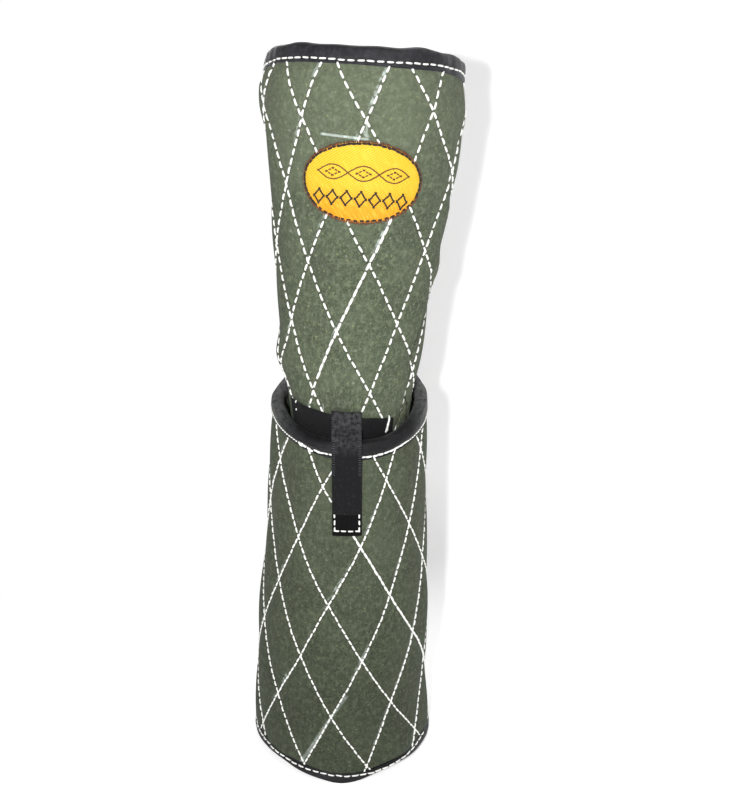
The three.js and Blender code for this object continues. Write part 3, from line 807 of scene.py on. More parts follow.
def ribbed_webbing(name, rib, light, dusty=0.0, black_below=0.0):
    material, tree, shader = finish(name, 0.72, sheen=0.03, sheen_roughness=0.4, specular=0.12)
    u, v, flat = tree.uv("UVMap")
    ribs = u.ridges(rib)
    picks = v.ridges(1.0 * mm, shift=ribs * 2.2)
    dust = tree.noise(flat, 300, detail=3, roughness=0.7)
    height = tree.height()
    colour = tree.layered(
        soot,
        (ribs * 0.5 + picks * 0.25, light),
        (dust.fade(0.55, 0.8) * 0.4, (0.060, 0.060, 0.062, 1)),
        (height.fade(dusty_from, dusty_to) * dust.fade(0.30, 0.65) * dusty, (0.085, 0.085, 0.090, 1)),
        (height.fade(black_below + 0.5 * mm, black_below - 0.5 * mm) * 0.95, (0.0, 0.0, 0.0, 1)),
    )
    plug_in(tree, shader, colour, ribs * 0.6 + picks * 0.3 + dust * 0.2, strength=0.7)
    return material


def orange_twill():
    material, tree, shader = finish("orange_twill", 0.60, specular=0.12)
    u, v, _ = tree.uv("UVMap")
    ridges = (u * 0.72 - v).ridges(1.9 * mm)
    satin = tree.noise(tree.place(u * 5.0 + v * 4.0, v * 0.6 - u * 0.5), 130, detail=2)
    colour = tree.layered(
        (0.65, 0.47, 0.036, 1),
        ((v * -1).fade(-4 * mm, 26 * mm) * 0.85, (0.65, 0.220, 0.009, 1)),
        (ridges * 0.60, (0.61, 0.24, 0.011, 1)),
        (satin.fade(0.45, 0.7) * 0.45, (0.68, 0.54, 0.070, 1)),
    )
    plug_in(tree, shader, colour, ridges * 0.7 + satin * 0.4)
    return material


def sewing_thread(name, light, dark):
    material, tree, shader = finish(name, 0.6, sheen=0.1, specular=0.3)
    fuzz = tree.noise(tree.object_place(), 900, detail=2)
    colour = tree.layered((*light, 1), (fuzz.fade(0.35, 0.7), (*dark, 1)))
    plug_in(tree, shader, colour, fuzz, relief=0.3 * mm, strength=0.4)
    return material


black_tape = binding_tape("black_binding_tape", 0.26, (0.010, 0.010, 0.012, 1), (0.044, 0.044, 0.052, 1))
roll_tape = binding_tape("roll_tape", 0.05, coal, (0.012, 0.012, 0.014, 1), lit_radius=lower.half_widths[1])
sole_black = binding_tape("sole_tape", 0.05, coal, (0.010, 0.010, 0.012, 1))
strap_webbing = ribbed_webbing(
    "strap_webbing", 1.5 * mm, (0.0105, 0.0105, 0.0112, 1), dusty=0.5, black_below=strap_flap,
)
band_webbing = ribbed_webbing("band_webbing", 0.8 * mm, (0.016, 0.016, 0.017, 1))
patch_twill = orange_twill()
white_thread = sewing_thread("white_thread", (0.90, 0.90, 0.87), (0.72, 0.72, 0.68))
black_thread = sewing_thread("black_thread", (0.020, 0.012, 0.010), (0.007, 0.005, 0.005))
rust_thread = sewing_thread("rust_thread", (0.20, 0.045, 0.012), (0.085, 0.022, 0.010))
brown_thread = sewing_thread("brown_thread", (0.130, 0.045, 0.014), (0.070, 0.026, 0.010))
grey_thread = sewing_thread("grey_thread", (0.060, 0.064, 0.074), (0.022, 0.023, 0.027))
print("finishes:", len(bpy.data.materials))

# %% [markdown]
# ## Skins from rings
# A padded tube, a tape round an edge and a strap are all the same thing to a mesh: rings of points,
# one after another. This helper joins the rings, closes the skin, and writes a UV map in metres, so
# that a weave keeps its real size, as well as a second map that holds the lattice numbers.

# %% Skin helper
def skin(name, rings, uv, closes_lengthwise, extra_maps=None):
    """A closed skin over rings of points; uv has one more row and column than the rings' faces."""
    count, size = rings.shape[:2]
    row = np.arange(count if closes_lengthwise else count - 1)
    here, across = np.meshgrid(row, np.arange(size), indexing="ij")
    after = (here + 1) % count
    beside = (across + 1) % size
    corners = [here * size + across, here * size + beside, after * size + beside, after * size + across]
    faces = [tuple(quad) for quad in np.stack(corners, axis=-1).reshape(-1, 4).tolist()]
    caps = [] if closes_lengthwise else [
        tuple(range(size - 1, -1, -1)), tuple(range((count - 1) * size, count * size)),
    ]
    mesh = bpy.data.meshes.new(name)
    mesh.from_pydata(rings.reshape(-1, 3).tolist(), [], faces + caps)
    cap_corners = np.zeros((sum(len(cap) for cap in caps), 2))
    for map_name, values in {"UVMap": uv, **(extra_maps or {})}.items():
        corners = [values[here, across], values[here, across + 1],
                   values[here + 1, across + 1], values[here + 1, across]]
        corners = np.concatenate([np.stack(corners, axis=2).reshape(-1, 2), cap_corners])
        mesh.uv_layers.new(name=map_name).data.foreach_set("uv", corners.astype(np.float32).ravel())
    return in_scene(name, mesh)


def uv_grid(across, along):
    return np.stack(np.broadcast_arrays(across[None, :], along[:, None]), axis=-1)


def face_outwards(piece):
    """Turns all faces of a closed skin outwards and smooths their shading."""
    bpy.context.view_layer.objects.active = piece
    piece.select_set(True)
    bpy.ops.object.mode_set(mode="EDIT")
    bpy.ops.mesh.select_all(action="SELECT")
    bpy.ops.mesh.normals_make_consistent(inside=False)
    bpy.ops.object.mode_set(mode="OBJECT")
    piece.select_set(False)
    piece.data.shade_smooth()


def dressed(piece, node, material):
    """Gives a skin its material and its place in the frame."""
    piece.data.materials.append(material)
    face_outwards(piece)
    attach(piece, "root")
    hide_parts(node)
    print(piece.name, "has", len(piece.data.polygons), "faces")
    return piece


# %% [markdown]
# ## Padded sleeves
# On the real sleeve, canvas, felt and lining are sewn through in diamonds. A cloth simulation would
# blur seams this narrow, so each tube is built as rings from the rule above: up the outside with
# its puffs and creases, over the edge, and down the inside, where the lining puffs a little too.

# %% The bottom edge's wave and the roll's drop
# a turn, and the heights of the bottom tape's lower and upper edge there
sole_waves = [
    (-180, 0.0, 11.0), (-110, 2.5, 14.0), (-75, 8.0, 17.0), (-52, 10.2, 17.5), (-38, 9.4, 16.4),
    (-29, 6.4, 14.4), (-15, 3.0, 11.4), (0, 0.0, 9.0), (10, 2.2, 9.4), (20, 6.3, 10.8),
    (30, 8.6, 12.4), (40, 8.4, 13.6), (50, 7.6, 15.0), (62, 7.6, 17.0), (78, 6.0, 16.0),
    (110, 2.0, 13.0), (180, 0.0, 11.0),
]
sole_low_at = curve_of([row[:2] for row in sole_waves], degree, mm)
sole_top_at = curve_of([row[::2] for row in sole_waves], degree, mm)
# the roll's crest lies lower than its seam asks for, most at the left
roll_drop_at = curve_of([
    (-180, 3.0), (-130, 5.5), (-100, 6.5), (-60, 7.0), (-45, 6.5), (-25, 5.5), (-10, 4.2), (10, 3.4),
    (30, 4.2), (50, 3.2), (70, 3.0), (100, 3.0), (130, 3.0), (180, 3.0),
], degree, mm)


# %% Padded tube maker
def padded_tube(name, tube, quilt, cloth, foot_at, short_at, columns, rows, node, material):
    turns = np.linspace(-math.pi, math.pi, columns + 1)
    share, turn = np.meshgrid(np.linspace(0, 1, rows + 1), turns, indexing="ij")
    foot = foot_at(turn)
    top = tube.mouth(turn) - short_at(turn)
    height = foot + (top - foot) * share
    outside_out = cloth(turn, height)
    fold_in = np.minimum(outside_out, 0) * smooth_step(0.3, 0.5, share)
    lining = -wall - 0.35 * puff(quilt, turn, height) + fold_in
    near_end = np.minimum(height - foot, top - height)
    rounded = 1.6 * mm * (1 - smooth_step(0, 5 * mm, near_end)) ** 2
    outside = tube.point(turn, height, outside_out - rounded)
    inside = tube.point(turn, height, lining + rounded)
    # the lining has a third of the rows, and those next to its ends
    down = np.unique(np.concatenate([np.arange(0, rows + 1, 3), [1, 2, rows - 2, rows - 1, rows]]))[::-1]

    def both(values):
        return np.concatenate([values, values[down], values[:1]])

    uv = np.stack([turn * tube.mean_half_width, height], axis=-1)
    lattice = np.stack(quilt.lines(turn, height), axis=-1)
    rings = np.concatenate([outside, inside[down]])
    piece = skin(name, rings[:, :-1], both(uv), True, {"lattice": both(lattice)})
    dressed(piece, node, material)
    return piece


lower_sleeve = padded_tube(
    "lower_padded_sleeve", lower, lower_quilt, lower_cloth,
    lambda turn: sole_low_at(turn) + 1.9 * mm, lambda turn: roll_drop_at(turn) + 3.4 * mm,
    columns=324, rows=190, node="lower_sleeve", material=lower_canvas,
)
upper_sleeve = padded_tube(
    "upper_padded_sleeve", upper, upper_quilt, upper_cloth,
    lambda turn: upper_foot + 0 * turn, lambda turn: 0 * turn,
    columns=336, rows=200, node="upper_sleeve", material=upper_canvas,
)

# %% [markdown]
# ## Bindings
# A strip of black tape is folded over each raw edge and sewn through. Its section is drawn once as
# a rounded loop of distances from the tube's outer face and heights from the edge, and then carried
# round the tube. The tape wrinkles where it goes round, and dips where the stitches pull it in.

# %% Binding maker
def rounded_section(corners, rounds):
    """A closed section through a few corners, rounded by cutting corners a few times."""
    loop = np.array(corners, float)
    for _ in range(rounds):
        after = np.roll(loop, -1, axis=0)
        loop = np.stack([0.75 * loop + 0.25 * after, 0.25 * loop + 0.75 * after], axis=1).reshape(-1, 2)
    return loop


def binding(name, tube, corners, stitch_up, node, wrinkle, seed, reshape, tape, wave=0.0, level=None):
    columns = 330
    section = rounded_section(corners, rounds=3)
    turn = np.linspace(-math.pi, math.pi, columns + 1)[None, :]
    out = section[:, :1] + 0 * turn
    up = section[:, 1:] + 0 * turn
    edge = tube.mouth(turn) if level is None else level
    folds = unevenness(turn * 3, up * 2, seed) * 0.6 + unevenness(turn * 7, up * 4, seed + 1) * 0.4
    pulled = bell((up - stitch_up) / (1.5 * mm)) * smooth_step(-wall / 2, 0, out)
    above_floor = smooth_step(0, 3 * mm, up + edge)
    out = out + (folds * wrinkle - 0.55 * mm * pulled) * above_floor * np.sign(out + wall / 2)
    up = up + unevenness(turn * 2, 0 * up, seed + 2) * wave * smooth_step(-6 * mm, 2 * mm, up)
    out, up = reshape(turn, out, up)
    place = tube.point(turn, edge + up, out)
    place[..., 2] = np.maximum(place[..., 2], 0.0)
    around = np.linspace(0, full_turn * tube.half_widths[1], columns + 1)
    steps = np.linalg.norm(np.diff(np.concatenate([section, section[:1]]), axis=0), axis=1)
    along = np.concatenate([[0], np.cumsum(steps)])
    return dressed(skin(name, place[:, :-1], uv_grid(around, along), True), node, tape)


# %% The three bindings
tape_out = seam_gap + tape_thickness
inner_out = -wall - tape_out
drawn_sole_height = 10 * mm


def sunk_roll(turn, out, up):
    """Lowers the roll's crest, and flattens it at the sides, where its seam stands out."""
    low = up - roll_drop_at(turn) * smooth_step(-16 * mm, -4 * mm, up)
    side = smooth_step(42 * degree, 72 * degree, np.abs(turn))
    flat_out = 2.3 * mm
    return np.where(out > 0, out + 0.8 * side * (flat_out - out), out), low


def raised_tape(turn, out, up):
    return out, up + tape_rise_at(turn) * smooth_step(-9 * mm, -12 * mm, up)


def waved_sole(turn, out, up):
    """Sets the tape's section between the wave's lower and upper edge."""
    low = sole_low_at(turn)
    return out, low + up * (sole_top_at(turn) - low) / drawn_sole_height


mouth_roll = binding(
    "lower_mouth_roll", lower,
    [(-1.0 * mm, -roll_height), (0.8 * mm, -roll_height), (1.0 * mm, -roll_height + 3 * mm),
     (tape_out + 0.6 * mm, -roll_height * 0.62), (tape_out + 0.7 * mm, -roll_height * 0.32),
     (tape_out * 0.7, -1.6 * mm), (-wall * 0.5, 0.2 * mm), (inner_out + 1.2 * mm, -1.4 * mm),
     (inner_out, -roll_height * 0.25), (inner_out, -roll_height * 0.7),
     (-wall + 1 * mm, -roll_height * 0.72)],
    stitch_up=-roll_seam_drop, node="lower_mouth_binding", wrinkle=0.25 * mm, seed=21, reshape=sunk_roll,
    tape=roll_tape,
)
mouth_tape = binding(
    "upper_mouth_tape", upper,
    [(-1.0 * mm, -mouth_tape_height), (0.8 * mm, -mouth_tape_height),
     (1.3 * mm, -mouth_tape_height + 2 * mm), (tape_out, -mouth_tape_height * 0.45),
     (tape_out * 1.1, 0.0), (tape_out * 0.5, 2.2 * mm),
     (-wall * 0.5, 3.2 * mm), (-wall - tape_out * 0.5, 2.2 * mm), (inner_out, 0.0),
     (inner_out, -mouth_tape_height * 0.7), (-wall + 1 * mm, -mouth_tape_height * 0.72)],
    stitch_up=-mouth_seam_drop, node="upper_mouth_binding", wrinkle=0.3 * mm, seed=31, reshape=raised_tape,
    tape=black_tape, wave=0.9 * mm,
)
sole_tape = binding(
    "lower_bottom_tape", lower,
    [(-1.0 * mm, drawn_sole_height), (0.8 * mm, drawn_sole_height), (1.4 * mm, 8 * mm),
     (tape_out * 1.1, 4 * mm), (tape_out * 1.1, 0.6 * mm), (tape_out * 0.6, -0.2 * mm),
     (-wall * 0.3, -0.4 * mm), (-wall * 0.7, -0.4 * mm), (-wall - tape_out * 0.6, -0.2 * mm),
     (inner_out, 1.0 * mm), (inner_out, 7 * mm), (-wall + 1 * mm, 7.5 * mm)],
    stitch_up=7.0 * mm, node="lower_bottom_binding", wrinkle=0.35 * mm, seed=41, reshape=waved_sole,
    tape=sole_black, level=0.0,
)

# %% [markdown]
# ## Strap and cross band
# Webbing is too stiff and too thin for a cloth simulation, so both are modelled directly. The strap
# follows one line in the middle plane: up the lower tube, over the roll, down inside, under the
# cross band, up behind it, over its top and back down over itself.

# %% Strip maker
def strip_section(width):
    """A flat section of webbing with rounded edges, as distances across and out."""
    thin = webbing_thickness / 2
    across = [-width / 2, -width / 6, width / 6, width / 2]
    return rounded_section([(x, -thin) for x in across] + [(x, thin) for x in across[::-1]], rounds=2)


def webbing_piece(name, rings, section, along, node, material):
    uv = uv_grid(np.append(section[:, 0], section[0, 0]), along)
    print(name, "is", round(float(along[-1]), 3), "m long")
    return dressed(skin(name, rings, uv, False), node, material)


def smooth_path(points, steps):
    """Evenly spaced points on a smooth line through a path."""
    points = np.array(points, float)
    gone = np.concatenate([[0], np.cumsum(np.linalg.norm(np.diff(points, axis=0), axis=1))])
    places = np.linspace(0, gone[-1], steps)
    return np.stack([curve_through(gone, values)(places) for values in points.T], axis=-1), places


def oval_arc(centre, front, back, up, slope, start, end, steps):
    """Points (y, z) on an arc that may reach further in front of its centre than behind it."""
    angle = np.linspace(start, end, steps + 1) * degree
    across = np.cos(angle) * np.where(np.cos(angle) < 0, front, back)
    return [(centre[0] + y, centre[1] + up * math.sin(t) + slope * y) for t, y in zip(angle, across)]


# %% The strap's route
first_layer = seam_gap + webbing_thickness / 2
rim_z = float(lower.mouth(0.0))
roll_out = tape_out + roll_bulge
roll_foot = rim_z - roll_height
lower_mouth_half = float(lower.half_widths[1])
rim_slope = lower_mouth_rise / (lower_mouth_half * lower_depth_share)


def in_front(tube, z, out):
    return float(tube.point(0.0, z, out)[1]), z


roll_middle = (in_front(lower, rim_z, -wall / 2)[0], rim_z - 3.2 * mm)


def around_roll(lift, start, end, steps):
    reach = roll_out + first_layer + lift
    reach_back = wall / 2 + tape_out + first_layer + lift + front_ease / 2
    return oval_arc(roll_middle, wall / 2 + reach, reach_back, reach, rim_slope, start, end, steps)


def around_band(z, start, end):
    centre = in_front(upper, z, lift_of_band)
    return oval_arc(centre, webbing_layer, webbing_layer, webbing_layer, 0, start, end, 6)


def up_the_lower(lift):
    return [
        in_front(lower, (strap_flap + roll_foot) / 2, first_layer + lift),
        in_front(lower, roll_foot - 16 * mm, first_layer + lift),
        in_front(lower, roll_foot - 1 * mm, 0.8 * roll_out + first_layer + lift),
        in_front(lower, rim_z - 0.45 * roll_height, roll_out + first_layer + lift),
    ]


band_turn_top = band_top + band_turn_room
band_turn_foot = band_top - band_width - band_turn_room
strap_route = [
    in_front(lower, strap_foot, first_layer),
    in_front(lower, strap_flap, first_layer),
    *up_the_lower(0.0),
    *around_roll(0.0, 180, 15, 8),
    in_front(upper, rim_z - 5 * mm, lift_before_band),
    *around_band(band_turn_foot, 180, 360),
    *[in_front(upper, band_turn_foot + share * (band_turn_top - band_turn_foot), lift_under_band)
      for share in (0.2, 0.45, 0.55, 0.8)],
    *around_band(band_turn_top, 0, 180),
    *around_roll(webbing_layer, 75, 180, 7),
    *up_the_lower(webbing_layer)[::-1],
    in_front(lower, strap_flap, first_layer + webbing_layer),
]


# %% Strap and band
def strap_piece():
    route, gone = smooth_path(strap_route, 260)
    section = strip_section(strap_width)
    ahead = np.gradient(route, axis=0)
    ahead = ahead / np.linalg.norm(ahead, axis=1, keepdims=True)
    normal = np.stack([-ahead[:, 1], ahead[:, 0]], axis=-1)
    height = np.minimum(route[:, 1], rim_z)[:, None]
    x = strap_x + section[None, :, 0]
    front = lower.point(0.0, height)
    side = lower.point(math.pi / 2, height)
    turn = np.arcsin((x - front[..., 0]) / (side[..., 0] - front[..., 0]))
    back = lower.point(turn, height)[..., 1] - front[..., 1]
    over_rim = smooth_step(rim_z - roll_height, rim_z, route[:, 1])[:, None]
    up = over_rim * (lower.mouth(turn) - rim_z)
    ripple = 95
    wavy = 0.25 * mm * np.sin(gone * ripple)[:, None]
    y = route[:, :1] + section[None, :, 1] * normal[:, :1] + back - np.abs(wavy) * (normal[:, :1] < 0)
    z = route[:, 1:] + section[None, :, 1] * normal[:, 1:] + up
    rings = np.stack(np.broadcast_arrays(x, y, z), axis=-1)
    return webbing_piece("link_strap_webbing", rings, section, gone, "link_strap", strap_webbing)


def band_piece():
    section = strip_section(band_width)
    turn = np.linspace(band_left, band_right, 151)[:, None]
    top = band_top - band_fall * turn
    beside = np.abs(upper.point(turn, top)[..., 0] - strap_x) - strap_width / 2
    over_strap = 1 - smooth_step(1 * mm, 9 * mm, beside)
    lift = lift_under_band + (lift_of_band - lift_under_band) * over_strap
    rings = upper.point(turn, top - band_width / 2 + section[None, :, 0], lift + section[None, :, 1])
    along = (turn[:, 0] - band_left) * neck_half_width
    return webbing_piece("cross_band_webbing", rings, section, along, "cross_band", band_webbing)


strap = strap_piece()
band = band_piece()

# %% [markdown]
# ## The oval patch
# A woven oval with an overcast edge is sewn on below the top mouth. It is a thin domed disc that
# bends with the tube, made of rings from its rim to its middle, front and back.

# %% The oval patch
def patch_spot(across, up, out):
    """A point on the tube at a place in the patch's own plane."""
    side = across * math.cos(patch_tilt) - up * math.sin(patch_tilt)
    z = patch_z + across * math.sin(patch_tilt) + up * math.cos(patch_tilt)
    half = upper.point(math.pi / 2, patch_z)[0] - upper.point(0.0, patch_z)[0]
    return upper.point(patch_turn + side / half, z, out)


def patch_piece():
    shares = np.sin(np.linspace(math.pi / 2, 0.02, 22))[:, None]
    angle = np.linspace(0, full_turn, 161)[None, :]
    across = shares * np.cos(angle) * patch_length / 2
    up = shares * np.sin(angle) * patch_height / 2
    edge = np.sqrt(np.clip(1 - shares**10, 0, 1))
    front = patch_spot(across, up, seam_gap + patch_thickness * (0.25 + 0.75 * edge) + 0 * angle)
    behind = patch_spot(across, up, 0.1 * mm + 0 * angle)
    rings = np.concatenate([front[::-1], behind])
    uv = np.stack([across, up], axis=-1)
    piece = skin("oval_patch_twill", rings[:, :-1], np.concatenate([uv[::-1], uv]), False)
    return dressed(piece, "oval_patch", patch_twill)


patch = patch_piece()

# %% [markdown]
# ## Thread
# Hundreds of stitches repeat along the seams, so Geometry Nodes place them: a small model of one
# stitch is set at even steps along lines, turned along its line and upright on the cloth. The tree
# gets its pitch, fill, thickness, thread and seed through named inputs, so one tree sews all.

# %% One stitch
def stitch_model():
    """A grain of thread, one unit long and thick, that rises out of the cloth and dips back."""
    along = np.array([-0.50, -0.43, -0.22, 0.22, 0.43, 0.50])[:, None]
    thick = np.array([0.18, 0.40, 0.50, 0.50, 0.40, 0.18])[:, None]
    rise = np.array([-0.40, -0.10, 0.10, 0.10, -0.10, -0.40])[:, None]
    angle = np.linspace(0, full_turn, 7)[None, :]
    rings = np.stack(np.broadcast_arrays(along, thick * np.cos(angle), rise + thick * np.sin(angle)), axis=-1)
    model = skin("stitch_model", rings[:, :-1], rings[..., :2], False)
    face_outwards(model)
    return model


# %% The stitch tree
def stitch_tree():
    """Stitches along every line of a mesh of edges, whose points know two directions."""
    group = bpy.data.node_groups.new("stitch_run", "GeometryNodeTree")
    tree = Tree(group)
    inputs = {
        "Lines": "Geometry", "Stitch": "Object", "Pitch": "Float", "Fill": "Float", "Thickness": "Float",
        "Unevenness": "Float", "Seed": "Int", "Thread": "Material",
    }
    for name, kind in inputs.items():
        group.interface.new_socket(name, in_out="INPUT", socket_type="NodeSocket" + kind)
    group.interface.new_socket("Stitches", in_out="OUTPUT", socket_type="NodeSocketGeometry")
    given = tree.node("NodeGroupInput").outputs
    pitch, fill, thickness, uneven, seed = (
        Number(tree, given[name]) for name in ("Pitch", "Fill", "Thickness", "Unevenness", "Seed")
    )

    def geometry(kind, sockets, settings=None):
        return tree.node("GeometryNode" + kind, settings, sockets).outputs[0]

    def direction(name):
        return geometry("InputNamedAttribute", {"Name": name}, {"data_type": "FLOAT_VECTOR"})

    def chance(low, high, shift):
        sockets = {2: low, 3: high, 8: seed + shift}
        return tree.number("FunctionNodeRandomValue", {"data_type": "FLOAT"}, sockets, output=1)

    curve = geometry("MeshToCurve", {"Mesh": given["Lines"]})
    steps = geometry("ResampleCurve", {"Curve": curve, "Length": pitch}, {"mode": "LENGTH"})
    aside = uneven * thickness
    shift = tree.place(*(chance(aside * -1, aside, number) for number in (1, 2, 3)))
    steps = geometry("SetPosition", {"Geometry": steps, "Offset": shift})

    ahead = tree.node("FunctionNodeAlignRotationToVector", {"axis": "X"}, {"Vector": direction("along")})
    sockets = {"Rotation": ahead.outputs[0], "Vector": direction("outwards")}
    upright = tree.node("FunctionNodeAlignRotationToVector", {"axis": "Z", "pivot_axis": "X"}, sockets)
    sway = tree.place(0.0, 0.0, chance(uneven * -0.5, uneven * 0.5, 4))
    sockets = {0: upright.outputs[0], 1: sway}
    turned = tree.node("FunctionNodeRotateRotation", {"rotation_space": "LOCAL"}, sockets)

    size = tree.place(pitch * fill * chance(0.92, 1.06, 5), thickness, thickness)
    model = tree.node("GeometryNodeObjectInfo", None, {"Object": given["Stitch"]}).outputs["Geometry"]
    sockets = {"Points": steps, "Instance": model, "Rotation": turned.outputs[0], "Scale": size}
    real = geometry("RealizeInstances", {"Geometry": geometry("InstanceOnPoints", sockets)})
    dyed = geometry("SetMaterial", {"Geometry": real, "Material": given["Thread"]})
    tree.node("NodeGroupOutput", None, {"Stitches": dyed})
    return group


stitch = stitch_model()
stitch_group = stitch_tree()
print("the stitch has", len(stitch.data.polygons), "faces; its tree has", len(stitch_group.nodes), "nodes")

# %% [markdown]
# ## Laying a line on cloth
# A seam is worked out on the tube's rule, but the thread must lie on the finished mesh, over every
# puff and fold. So each point of a line is dropped onto the piece along a ray, and a line is broken
# where the ray misses or where the seam is covered.

# %% Lay and sew
outside_far = 30 * mm
inside_far = -40 * mm


def ground_of(piece):
    """A look-up of where a ray meets a piece."""
    return BVHTree.FromObject(piece, bpy.context.evaluated_depsgraph_get())


def laid(ground, starts, ends, shown=True, lift=0.1 * mm):
    """The stretches of a line where rays from starts towards ends meet the ground."""
    stretches = [[]]
    for start, end, seen in zip(starts, ends, np.broadcast_to(shown, len(starts))):
        inwards = (Vector(end) - Vector(start)).normalized()
        place = ground.ray_cast(Vector(start), inwards)[0] if seen else None
        if place is None:
            stretches.append([])
        else:
            stretches[-1].append((place - inwards * lift, -inwards))
    return [stretch for stretch in stretches if len(stretch) > 2]


def on_tube(tube, ground, turn, height, shown=True, lift=0.1 * mm, far=outside_far):
    """A line on a tube's outside, or on its lining where far is below zero."""
    turn, height = np.broadcast_arrays(turn, height)
    return laid(ground, tube.point(turn, height, far), tube.point(turn, height, 0.0), shown, lift)


def sew(name, stretches, pitch_mm, fill, thickness_mm, seed, unevenness=0.12, thread=white_thread,
        crosswise=False):
    """Stitches along stretches, as one plain mesh; crosswise ones bind an edge."""
    places, along, outwards, edges = [], [], [], []
    for stretch in stretches:
        points = np.array([place for place, _ in stretch])
        upright = np.array([out for _, out in stretch])
        ahead = np.gradient(points, axis=0)
        count = len(places)
        edges += [(count + step, count + step + 1) for step in range(len(points) - 1)]
        places += points.tolist()
        along += (np.cross(ahead, upright) if crosswise else ahead).tolist()
        outwards += upright.tolist()
    mesh = bpy.data.meshes.new(name)
    mesh.from_pydata(places, edges, [])
    for attribute_name, values in (("along", along), ("outwards", outwards)):
        attribute = mesh.attributes.new(attribute_name, "FLOAT_VECTOR", "POINT")
        attribute.data.foreach_set("vector", np.array(values, np.float32).ravel())
    run = in_scene(name, mesh)
    modifier = run.modifiers.new("stitches", "NODES")
    modifier.node_group = stitch_group
    identifiers = {item.name: item.identifier for item in stitch_group.interface.items_tree}
    values = {
        "Stitch": stitch, "Pitch": pitch_mm * mm, "Fill": fill, "Thickness": thickness_mm * mm,
        "Unevenness": unevenness, "Seed": seed, "Thread": thread,
    }
    for input_name, value in values.items():
        modifier[identifiers[input_name]] = value
    graph = bpy.context.evaluated_depsgraph_get()
    sewn = bpy.data.meshes.new_from_object(run.evaluated_get(graph))
    run.modifiers.remove(modifier)
    run.data = sewn
    sewn.name = name
    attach(run, "root")
    print(name, "has", len(sewn.polygons) // len(stitch.data.polygons), "stitches")


# %% [markdown]
# ## The quilting seams
# Each line of the lattice is one run of white thread through canvas, felt and lining, so it shows
# on both sides. It stops under the patch, the tapes and the strap. Two of the lines were sewn with a
# thicker thread, whose stitches nearly touch.

# %% Where a quilting seam shows
def beside_strap(tube, turn, height, margin):
    x = tube.point(turn, height)[..., 0]
    return (np.abs(x - strap_x) > strap_width / 2 + margin) | (np.cos(turn) < 0)


def upper_shown(turn, height):
    below_tape = height < tape_foot(turn) + 0.4 * mm
    clear_of_strap = beside_strap(upper, turn, height, 1.5 * mm) | (height > band_top + 5 * mm)
    return below_tape & (in_patch(turn, height, 0.8 * mm) > 1) & clear_of_strap


def lower_shown(turn, height):
    between = (height < lower.mouth(turn) - roll_height + 1 * mm) & (height > sole_top_at(turn) - 1 * mm)
    clear_of_strap = beside_strap(lower, turn, height, 0.8 * mm) | (height < strap_foot - 1 * mm)
    return between & clear_of_strap


def inside_upper(turn, height):
    return height < tape_foot(turn)


def inside_lower(turn, height):
    return (height < lower.mouth(turn) - roll_height) & (height > 14 * mm)


# %% Quilting seams
def quilt_seams(tube, quilt, ground, rows, shown, thick_seam, wants_thick, far):
    """All seams of a tube, or only its thick one; thick_seam is family, line, first and last row."""
    stretches = []
    row = np.arange(rows[0], rows[1], 0.025)
    for family in (1, -1):
        for line in range(-1, quilt.diamonds - 1):
            turn = (quilt.turn_on_line(family, line, row) + math.pi) % full_turn - math.pi
            height = quilt.height(turn, row)
            is_thick = (family, line) == thick_seam[:2]
            thick = is_thick & (row > thick_seam[2]) & (row < thick_seam[3])
            seen = shown(turn, height) & (thick if wants_thick else ~thick)
            stretches += on_tube(tube, ground, turn, height, seen, far=far)
    return stretches


upper_side = (upper, upper_quilt, ground_of(upper_sleeve), (-0.9, 5.2))
lower_side = (lower, lower_quilt, ground_of(lower_sleeve), (-0.6, 6.8))
upper_thick = (1, 1, 1.2, 3.75)
lower_thick = (-1, -1, 0.75, 4.2)
none_thick = (0, 0, 0.0, 0.0)
# name, side, where it shows, its thick seam, whether that one is meant, ray; pitch, fill, thickness
quilting = [
    ("upper_quilting", upper_side, upper_shown, upper_thick, False, outside_far, 7.3, 0.84, 1.8),
    ("upper_thick_seam", upper_side, upper_shown, upper_thick, True, outside_far, 7.3, 1.02, 2.2),
    ("lower_quilting", lower_side, lower_shown, lower_thick, False, outside_far, 5.8, 0.94, 1.6),
    ("lower_thick_seam", lower_side, lower_shown, lower_thick, True, outside_far, 6.0, 1.06, 2.0),
    ("upper_lining_quilting", upper_side, inside_upper, none_thick, False, inside_far, 6.0, 0.75, 1.0),
    ("lower_lining_quilting", lower_side, inside_lower, none_thick, False, inside_far, 6.0, 0.75, 1.0),
]
for seed, (name, side, shown, thick_seam, wants_thick, far, *thread_sizes) in enumerate(quilting, 51):
    sew(name, quilt_seams(*side, shown, thick_seam, wants_thick, far), *thread_sizes, seed)

# %% [markdown]
# ## Seams of the tapes
# The tapes are sewn down by single rows. On the lower rim the machine's fine row was gone over by
# hand with a doubled thread on both sides of the strap; it starts with a knot.

# %% Tape seams
roll_ground = ground_of(mouth_roll)
knot_turn = -37 * degree
turn = np.linspace(-180 * degree, 179 * degree, 500)
wander = 0.35 * mm * unevenness(turn, 0 * turn, seed=61)
sew("upper_mouth_seam",
    on_tube(upper, ground_of(mouth_tape), turn, upper.mouth(turn) - mouth_seam_drop + wander),
    6.8, 0.82, 1.35, seed=62)

sole_seam_drop = 2.6 * mm
wander = 0.3 * mm * unevenness(turn, 0 * turn, seed=63)
worn_away = (turn > 66 * degree) & (turn < 84 * degree)
sew("lower_bottom_seam",
    on_tube(lower, ground_of(sole_tape), turn, sole_top_at(turn) - sole_seam_drop + wander, ~worn_away),
    7.0, 0.88, 1.35, seed=64)


